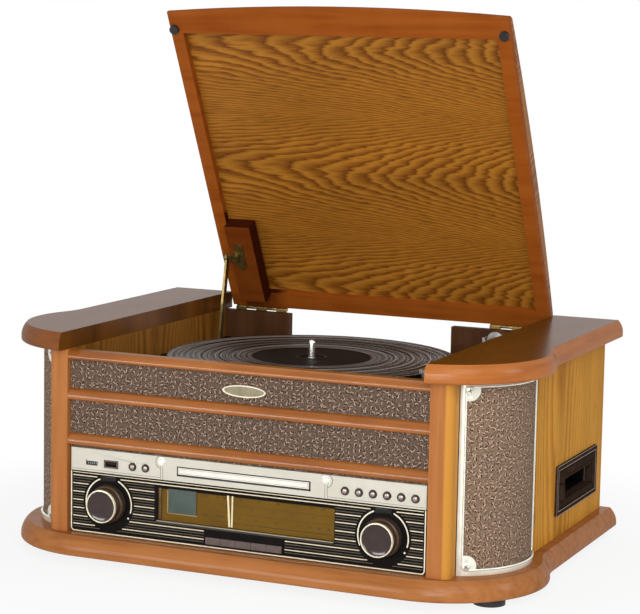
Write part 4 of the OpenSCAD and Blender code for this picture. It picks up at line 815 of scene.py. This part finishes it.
def build_port():
    """USB port: dark lining, tongue and frame."""
    x, z, frame_half_w, frame_half_h = PORT_X, BUTTON_Z, 8, 4
    boxes("port_lining", [((x - 6.4, FASCIA + 0.4, z - 2.7), (x + 6.4, FASCIA + 0.9, z + 2.7))], "black")
    boxes("port_tongue", [((x - 5, FASCIA - 0.2, z + 0.3), (x + 5, FASCIA + 0.4, z + 1.6))], "bezel")
    bars = [on_front(x - frame_half_w, x + frame_half_w, z + low, z + high, 0.9, 0.4)
            for low, high in ((2.6, frame_half_h), (-frame_half_h, -2.6))]
    bars += [on_front(x + left, x + right, z - frame_half_h, z + frame_half_h, 0.9, 0.4)
             for left, right in ((-frame_half_w, -6.3), (6.3, frame_half_w))]
    boxes("port_frame", bars, "key", bevel=0.3)


def build_card_slot():
    """Card slot: dark opening with five contacts, and a lip at its foot and left end."""
    x, z, pitch = CARD_X, BUTTON_Z, 2.3
    boxes("card_slot", [on_front(x - 6.6, x + 6.6, z - 2.2, z + 1.3, 0.06)], "black")
    boxes("card_pins", [on_front(x - 4.6 + pitch * k, x - 3.2 + pitch * k, z - 1.6, z + 0.4, 0.12)
                        for k in range(5)], "zinc")
    boxes("card_lip", [on_front(x - 6.4, x + 6.4, z - 2.9, z - 2.2, 0.35, 0),
                       on_front(x - 6.6, x - 5.8, z - 2.9, z + 2.6, 0.35, 0)], "groove", bevel=0.1)


def build_window():
    """Ledge and shadow line under the dial window, and the bronze wall at its left end."""
    left, right, foot, ledge = -93.6, 98.6, FLOOR + 21.7, FLOOR + 22.4
    boxes("window_ledge", [((left, FASCIA - 2.35, foot), (right, FASCIA, ledge))], "ledge", bevel=0.15)
    boxes("window_foot", [((left, FASCIA - 2.25, FLOOR + 19.8), (right, FASCIA, foot))], "shadow")
    boxes("window_wall", [((-93.4, FASCIA + 1.5, ledge), (-90.0, FASCIA + 3.25, FLOOR + 55.2))],
          "bronze_wall", bevel=0.3)


def build_dial_marks():
    """Marks on the dial: two fine lines, rows of dots, a broken line at the foot and a row of ticks."""
    y = node_span("dial_scale")[0][1]
    lines, ticks = (45.6, 37.4), (18, -38, 7.6)
    bars = [(-40, 96, z - 0.15, z + 0.15) for z in lines]
    bars += [(x, x + width, 27.2, 27.9) for x, width in ((-36, 17), (-13, 9), (-1, 12), (16, 78))]
    for z, places in ((51, (-46, -42, -30, -22, -4, 16, 36, 56, 72, 84)),
                      (42, (-43, -34, -20, 8, 30, 52, 74)),
                      (32, (-45, -41, -30, -24, -6, 12, 34, 58, 70, 80, 90))):
        bars += [(x, x + 2.6, z, z + 1.5) for x in places]
    count, first, pitch = ticks
    for k in range(count):
        x = first + pitch * k
        bars.append((x, x + 0.3, lines[0], 47))
    boxes("dial_marks", [((x0, y - 0.15, FLOOR + z0), (x1, y + 0.1, FLOOR + z1)) for x0, x1, z0, z1 in bars],
          "dial_mark")


def build_display():
    """Display behind the window: the film, a dark border on three sides and a pale edge on two."""
    (x0, y0, z0), (x1, y1, z1) = node_span("lcd_display")
    screen = boxes("display_screen", [((x0 + 1.8, y0 + 0.2, z0 + 2), (x1 - 2, y1, z1))], "lcd", bevel=0.15)
    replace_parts(screen, "lcd_display")
    boxes("display_dark_border", [((x0 + 1, y0 + 0.1, z0 + 1.3), (x0 + 1.8, y1, z1)),
                             ((x0 + 1, y0 + 0.1, z0 + 1.3), (x1 - 2, y1, z0 + 2)),
                             ((x1 - 2, y0 + 0.1, z0 + 1.3), (x1 - 1.6, y1, z1))], "bronze_wall")
    boxes("display_edge", [((x0 - 0.2, y0 + 0.3, z0 + 0.4), (x0 + 1, y0 + 1.3, z1 - 1.4)),
                           ((x0 - 0.2, y0 + 0.3, z0 + 0.4), (x1 - 1, y0 + 1.3, z0 + 1.3))], "ledge")


def build_pointer():
    """Two pale strips of the pointer, the left one leaning."""
    foot_z, head_z, front, back = FLOOR + 23.4, 83.9, FASCIA + 1.9, FASCIA + 2.5
    bm = bmesh.new()
    for foot, head, half in ((-14.6, -16.5, 1.0), (-11.9, -11.5, 0.8)):
        corners = ((foot - half, foot_z), (foot + half, foot_z), (head + half, head_z), (head - half, head_z))
        ring = [[bm.verts.new((x, y, z)) for y in (front, back)] for x, z in corners]
        bm.faces.new([v[0] for v in ring])
        bm.faces.new([v[1] for v in reversed(ring)])
        for a, b in zip(ring, ring[1:] + ring[:1]):
            bm.faces.new((a[0], a[1], b[1], b[0]))
    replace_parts(finish_mesh("pointer_strips", bm, "pointer", body="pointer"), "dial_pointer")


def build_knobs():
    """Turned knobs, from the fascia out: black disc, knurled skirt and barrel, bright ring, dished face."""
    finishes = ("knob_skirt", "cream", "knob_face", "black")
    for side, body in ((-1, "volume"), (1, "tuning")):
        bm = bmesh.new()
        spot = facing(side * KNOB_X, FASCIA, KNOB_Z)
        turned(bm, [(0, 0.3), (20.6, 0.3), (20.6, 1.2), (19.2, 1.8)], spot, steps=96, slot=3)
        turned(bm, [(19.2, 1.8), (19.4, 2.4), (19.2, 5.6), (18.0, 6.4), (17.2, 6.8), (16.6, 14.0)],
               spot, steps=120, knurl=(1, 2, 0.9), slot=0)
        turned(bm, [(16.6, 14.0), (16.8, 14.6), (16.8, 16.4), (16.4, 17.2), (15.8, 17.3), (15.4, 16.9),
                    (15.2, 16.0)], spot, steps=96, slot=1)
        turned(bm, [(15.3, 16.3), (14.2, 15.9), (11, 15.3), (6, 14.9), (0, 14.8)], spot, steps=96, slot=2)
        knob = finish_mesh(f"turned_{body}_knob", bm, finishes, body)
        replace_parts(knob, f"{body}_knob")


def build_buttons():
    """Eight round buttons: a bronze ring round a smoked dome."""
    for i, x in enumerate(BUTTONS, 1):
        bm = bmesh.new()
        spot = facing(x, FASCIA, BUTTON_Z)
        turned(bm, [(4.1, -3), (4.1, 1.0), (3.7, 1.6), (2.9, 1.7), (2.5, 1.5)], spot, steps=40, slot=0)
        turned(bm, [(2.5, 1.5), (2.2, 1.9), (1.5, 2.2), (0.7, 2.35), (0, 2.38)], spot, steps=40, slot=1)
        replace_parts(finish_mesh(f"turned_button_{i}", bm, ("bronze", "dome"), f"push_{i}"), f"button_{i}")


def build_studs():
    """Dome studs on the silver strip."""
    profile = [(4.6, 0), (4.6, 0.6), (4.0, 0.7), (3.9, 1.4), (3.4, 2.1), (2.4, 2.6), (1.2, 2.78), (0, 2.8)]
    for k, (side, _) in enumerate(SIDES):
        bm = bmesh.new()
        turned(bm, profile, facing(side * STUD_X, FASCIA, STUD_Z), steps=40)
        finish_mesh(f"dome_stud_{k}", bm, "silver")


def build_screws():
    """Cross-headed screws in the front corner tabs of the speaker frames."""
    margin, profile = 9, [(4.6, 0), (4.6, 0.5), (4.1, 1.2), (3, 1.7), (1.4, 2.0), (0, 2.05)]
    cross = [((-2.4, -0.4, 1.2), (2.4, 0.4, 2.07)), ((-0.4, -2.4, 1.2), (0.4, 2.4, 2.07))]
    a = math.radians(FRAME_ANGLES[0]) + margin / FRAME_R
    for k, (side, z) in enumerate((side, z) for side, _ in SIDES for z in (FLOOR + margin, CAP - margin)):
        out = Vector((side * math.cos(a), math.sin(a), 0))
        seat = FRAME_R + 0.1
        spot = (Matrix.Translation((side * CORNER[0] + out.x * seat, CORNER[1] + out.y * seat, z))
                @ out.to_track_quat("Z", "Y").to_matrix().to_4x4())
        bm = bmesh.new()
        turned(bm, profile, spot, steps=36)
        screw = finish_mesh(f"frame_screw_{k}", bm, "silver")
        boxes(f"screw_cross_{k}", cross, "groove", move=spot @ Matrix.Rotation(0.5 + k, 4, "Z"))
        if k == 0:
            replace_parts(screw, "trim_studs")


def outline(x0, x1, y, z, half_w, half_h, line):
    """Four bars round a rectangle that faces the right side."""
    thin = line / 2
    level = [z - half_h, z + half_h]
    upright = [y - half_w, y + half_w]
    return ([((x0, y - half_w, at - thin), (x1, y + half_w, at + thin)) for at in level]
            + [((x0, at - thin, z - half_h), (x1, at + thin, z + half_h)) for at in upright])


def build_rails():
    """Rails of the front: a nose low on the section and a long round above it."""
    (x0, y0, _), (x1, y1, _) = node_span("front_rails")
    nose, steps = 0.22, 24
    section = []
    for i in range(steps + 1):
        a = math.radians(-90 + 180 * i / steps)
        section.append((math.cos(a), nose + math.sin(a) * (nose if a < 0 else 1 - nose)))
    bm = bmesh.new()
    for low, high in RAILS:
        ends = [[bm.verts.new((x, y1 - (y1 - y0) * out, low + (high - low) * up)) for out, up in section]
                for x in (x0, x1)]
        skin(bm, ends)
        bm.faces.new(ends[0])
        bm.faces.new(ends[1][::-1])
    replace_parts(finish_mesh("rail_mouldings", bm, "lacquer_rail"), "front_rails")


def build_cassette():
    """Pale lines along the edges of the cassette bezel, and the tape guide in its opening."""
    y, z = BACK - 94.5, FLOOR + 48.5
    face, recess = (257.3, 257.6), (246.2, 246.6)
    inner_y, inner_z = y + 9.5, z - 2.5
    edges = (outline(*face, y, z, 69.1, 25.6, 0.6) + outline(*face, y, z, 64.8, 21.3, 0.6)
             + outline(*recess, y, z, 61.2, 17.7, 0.7)
             + outline(recess[1], recess[1] + 0.4, inner_y, inner_z, 53.2, 12.7, 0.7))
    boxes("bezel_edges", edges, "bezel_edge")
    y, z = inner_y, inner_z
    boxes("tape_guide", [((226, y - 42, z + 4), (231, y + 30, z + 10)),
                         ((224, y - 30, z - 6), (231, y - 12, z + 4)),
                         ((224, y + 4, z - 9), (229, y + 16, z - 2))], "alloy", bevel=0.6)


def build_spindle():
    """Chromed sleeve of the spindle."""
    bm = bmesh.new()
    profile = [(7.4, 199.7), (7.4, 200.3), (4.2, 200.6), (3.6, 201.2), (3.4, 215.8), (3.1, 218.0),
               (2.0, 219.2), (0.9, 219.7), (0, 219.75)]
    turned(bm, profile, Matrix.Translation((0, SPINDLE_Y, 0)), steps=40)
    finish_mesh("spindle_sleeve", bm, "chrome", body="turntable")


build_front_cloth()
build_corner_cloth()
build_frame_beads()
build_lines()
build_border()
build_knob_scales()
build_strip_grooves()
build_tray_gap()
build_port()
build_card_slot()
build_window()
build_dial_marks()
build_display()
build_pointer()
build_knobs()
build_buttons()
build_studs()
build_screws()
build_rails()
build_cassette()
build_spindle()

# the CAD nodes that stay in sight
paint("lacquer_x", "plinth")
paint("lacquer_z", "columns")
paint("cap", "top_cap_left", "top_cap_right")
paint("oak_side", "side_panel_left", "side_panel_right")
paint("oak_inner", "inner_boards", bevel=0.4)
paint("lacquer_lid", "lid_frame", bevel=1.0, segments=3)
paint("oak_lid", "lid_panel", bevel=0.8)
paint("dark_board", "back_panel", bevel=0.5)
paint("frame_metal", "speaker_frames", bevel=0.4)
paint("champagne", "silver_strip", bevel=0.2)
paint("badge", "badge", bevel=0.2)
paint("black", "dial_panel", bevel=0.25)
paint("black", "deck_plate", "speed_switch", "cassette_deck", bevel=0.4)
paint("black_gloss", "tonearm_base", "cue_lever", "arm_rest", bevel=0.5)
paint("key", "key_1", "key_2", "key_3", "key_4", "key_5", bevel=0.5)
paint("clear", "dial_window")
paint("dial", "dial_scale")
paint("tray", "cd_tray", bevel=0.3)
paint("zinc", "cd_drive")
paint("steel", "drive_motor", "arm_yoke", "tonearm", bevel=0.3)
paint("bezel", "cassette_bezel", "eject_key", bevel=0.5)
paint("alloy", "platter")
paint("mat", "platter_mat")
paint("rubber", "feet", "drive_belt", "lid_bumpers", bevel=0.5)
paint("paper", "speaker_drivers")
paint("brass", "lid_hardware", "case_hardware", "motor_pulley", bevel=0.2)
paint("stay", "stay_arm", bevel=0.3)
paint("board", "main_board")


def sees_studio(tree):
    """1 for the rays that show the white studio: the camera's, and those in gloss and in clear plastic."""
    rays = add(tree, "LightPath", out=None)
    seen = rays.outputs["Is Camera Ray"]
    for kind in ("Is Glossy Ray", "Is Transmission Ray"):
        seen = add(tree, "Math", {0: seen, 1: rays.outputs[kind]}, operation="MAXIMUM")
    return seen


def build_floor():
    """Pale floor that fades to the white studio a little way off the player's feet; it keeps the shadow."""
    half, fade_from, fade_to = 9, 0.34, 0.6
    mesh = bpy.data.meshes.new("floor")
    corners = [(-half, -half, 0), (half, -half, 0), (half, half, 0), (-half, half, 0)]
    mesh.from_pydata(corners, [], [(0, 1, 2, 3)])
    floor = bpy.data.objects.new("floor", mesh)
    bpy.context.scene.collection.objects.link(floor)
    mat, tree = start("paper_floor")
    tone = add(tree, "TexNoise", {"Vector": place(tree), "Scale": 3.0})
    shade = add(tree, "MapRange", {"Value": tone, "To Min": 0.86, "To Max": 0.9})
    color = add(tree, "CombineColor", {0: shade, 1: shade, 2: shade})
    paper = add(tree, "BsdfDiffuse", {"Color": color})
    glow = add(tree, "Emission", {"Color": (1, 1, 1, 1), "Strength": 1.0})
    far = add(tree, "VectorMath", {0: place(tree)}, out=1, operation="LENGTH")
    fade = add(tree, "MapRange", {"Value": far, "From Min": fade_from, "From Max": fade_to, "To Min": 0.86},
               interpolation_type="SMOOTHSTEP")
    level = add(tree, "Math", {0: fade, 1: sees_studio(tree)}, operation="MULTIPLY")
    both = add(tree, "MixShader", {0: level, 1: paper, 2: glow})
    add(tree, "OutputMaterial", {"Surface": both}, out=None)
    mesh.materials.append(mat)


def build_world():
    """White for the rays that show the studio, dim for the light that it sheds."""
    scene = bpy.context.scene
    world = scene.world or bpy.data.worlds.new("studio")
    scene.world = world
    world.use_nodes = True
    tree = world.node_tree
    tree.nodes.clear()
    level = add(tree, "MapRange", {"Value": sees_studio(tree), "To Min": 0.17, "To Max": 1.0})
    sky = add(tree, "Background", {"Color": (1, 1, 1, 1), "Strength": level})
    add(tree, "OutputWorld", {"Surface": sky}, out=None)


def build_lights():
    """Soft boxes of the studio, all turned to the player: place, width and height in metres, watts."""
    target = Vector((0, 0, 0.2))
    for name, spot, size, power in (
        ("key", (1.7, -2.0, 1.8), (1.5, 1.5), 27),
        ("front", (0.8, -2.7, 0.75), (1.1, 1.2), 46),
        ("strip", (-1.2, -2.7, 0.5), (1.3, 0.28), 16),
        ("left", (-2.2, -1.8, 1.4), (1.2, 1.2), 3),
        ("side", (2.8, 0.2, 1.3), (0.9, 0.9), 17),
        ("top", (-0.2, 0.4, 2.6), (1.6, 1.6), 14),
        ("back", (-1.3, 2.6, 0.78), (2.4, 0.8), 4),
    ):
        data = bpy.data.lights.new(name, "AREA")
        data.shape = "RECTANGLE"
        data.size, data.size_y = size
        data.energy = power
        lamp = bpy.data.objects.new(name, data)
        lamp.location = spot
        lamp.visible_camera = False
        lamp.rotation_euler = (target - Vector(spot)).to_track_quat("-Z", "Y").to_euler()
        bpy.context.scene.collection.objects.link(lamp)


def build_camera():
    """The photograph's camera, solved from it: place in metres, turns in degrees, lens in pixels."""
    spot, turns = (0.89727, -2.04267, 0.5477), (24.077, 6.906, 1.01)
    width, height, focal, centre_x, centre_y = 640, 614, 2157.35, 306.04, 282.22
    yaw, pitch, roll = (math.radians(v) for v in turns)
    right = Vector((math.cos(yaw), math.sin(yaw), 0))
    ahead = Vector((-math.sin(yaw) * math.cos(pitch), math.cos(yaw) * math.cos(pitch), -math.sin(pitch)))
    up = right.cross(ahead)
    across = right * math.cos(roll) + up * math.sin(roll)
    lift = up * math.cos(roll) - right * math.sin(roll)
    data = bpy.data.cameras.new("photo")
    data.sensor_width = 36.0
    data.lens = focal / width * data.sensor_width
    data.shift_x = (width / 2 - centre_x) / width
    data.shift_y = (centre_y - height / 2) / width
    data.clip_end = 50
    camera = bpy.data.objects.new("photo", data)
    turn = Matrix((across, lift, -ahead)).transposed().to_4x4()
    camera.matrix_world = Matrix.Translation(spot) @ turn
    scene = bpy.context.scene
    scene.collection.objects.link(camera)
    scene.camera = camera
    scene.view_settings.view_transform = "Standard"
    scene.view_settings.look = "None"
    scene.view_settings.exposure = 0.0
    scene.view_settings.gamma = 1.0


build_floor()
build_world()
build_lights()
build_camera()
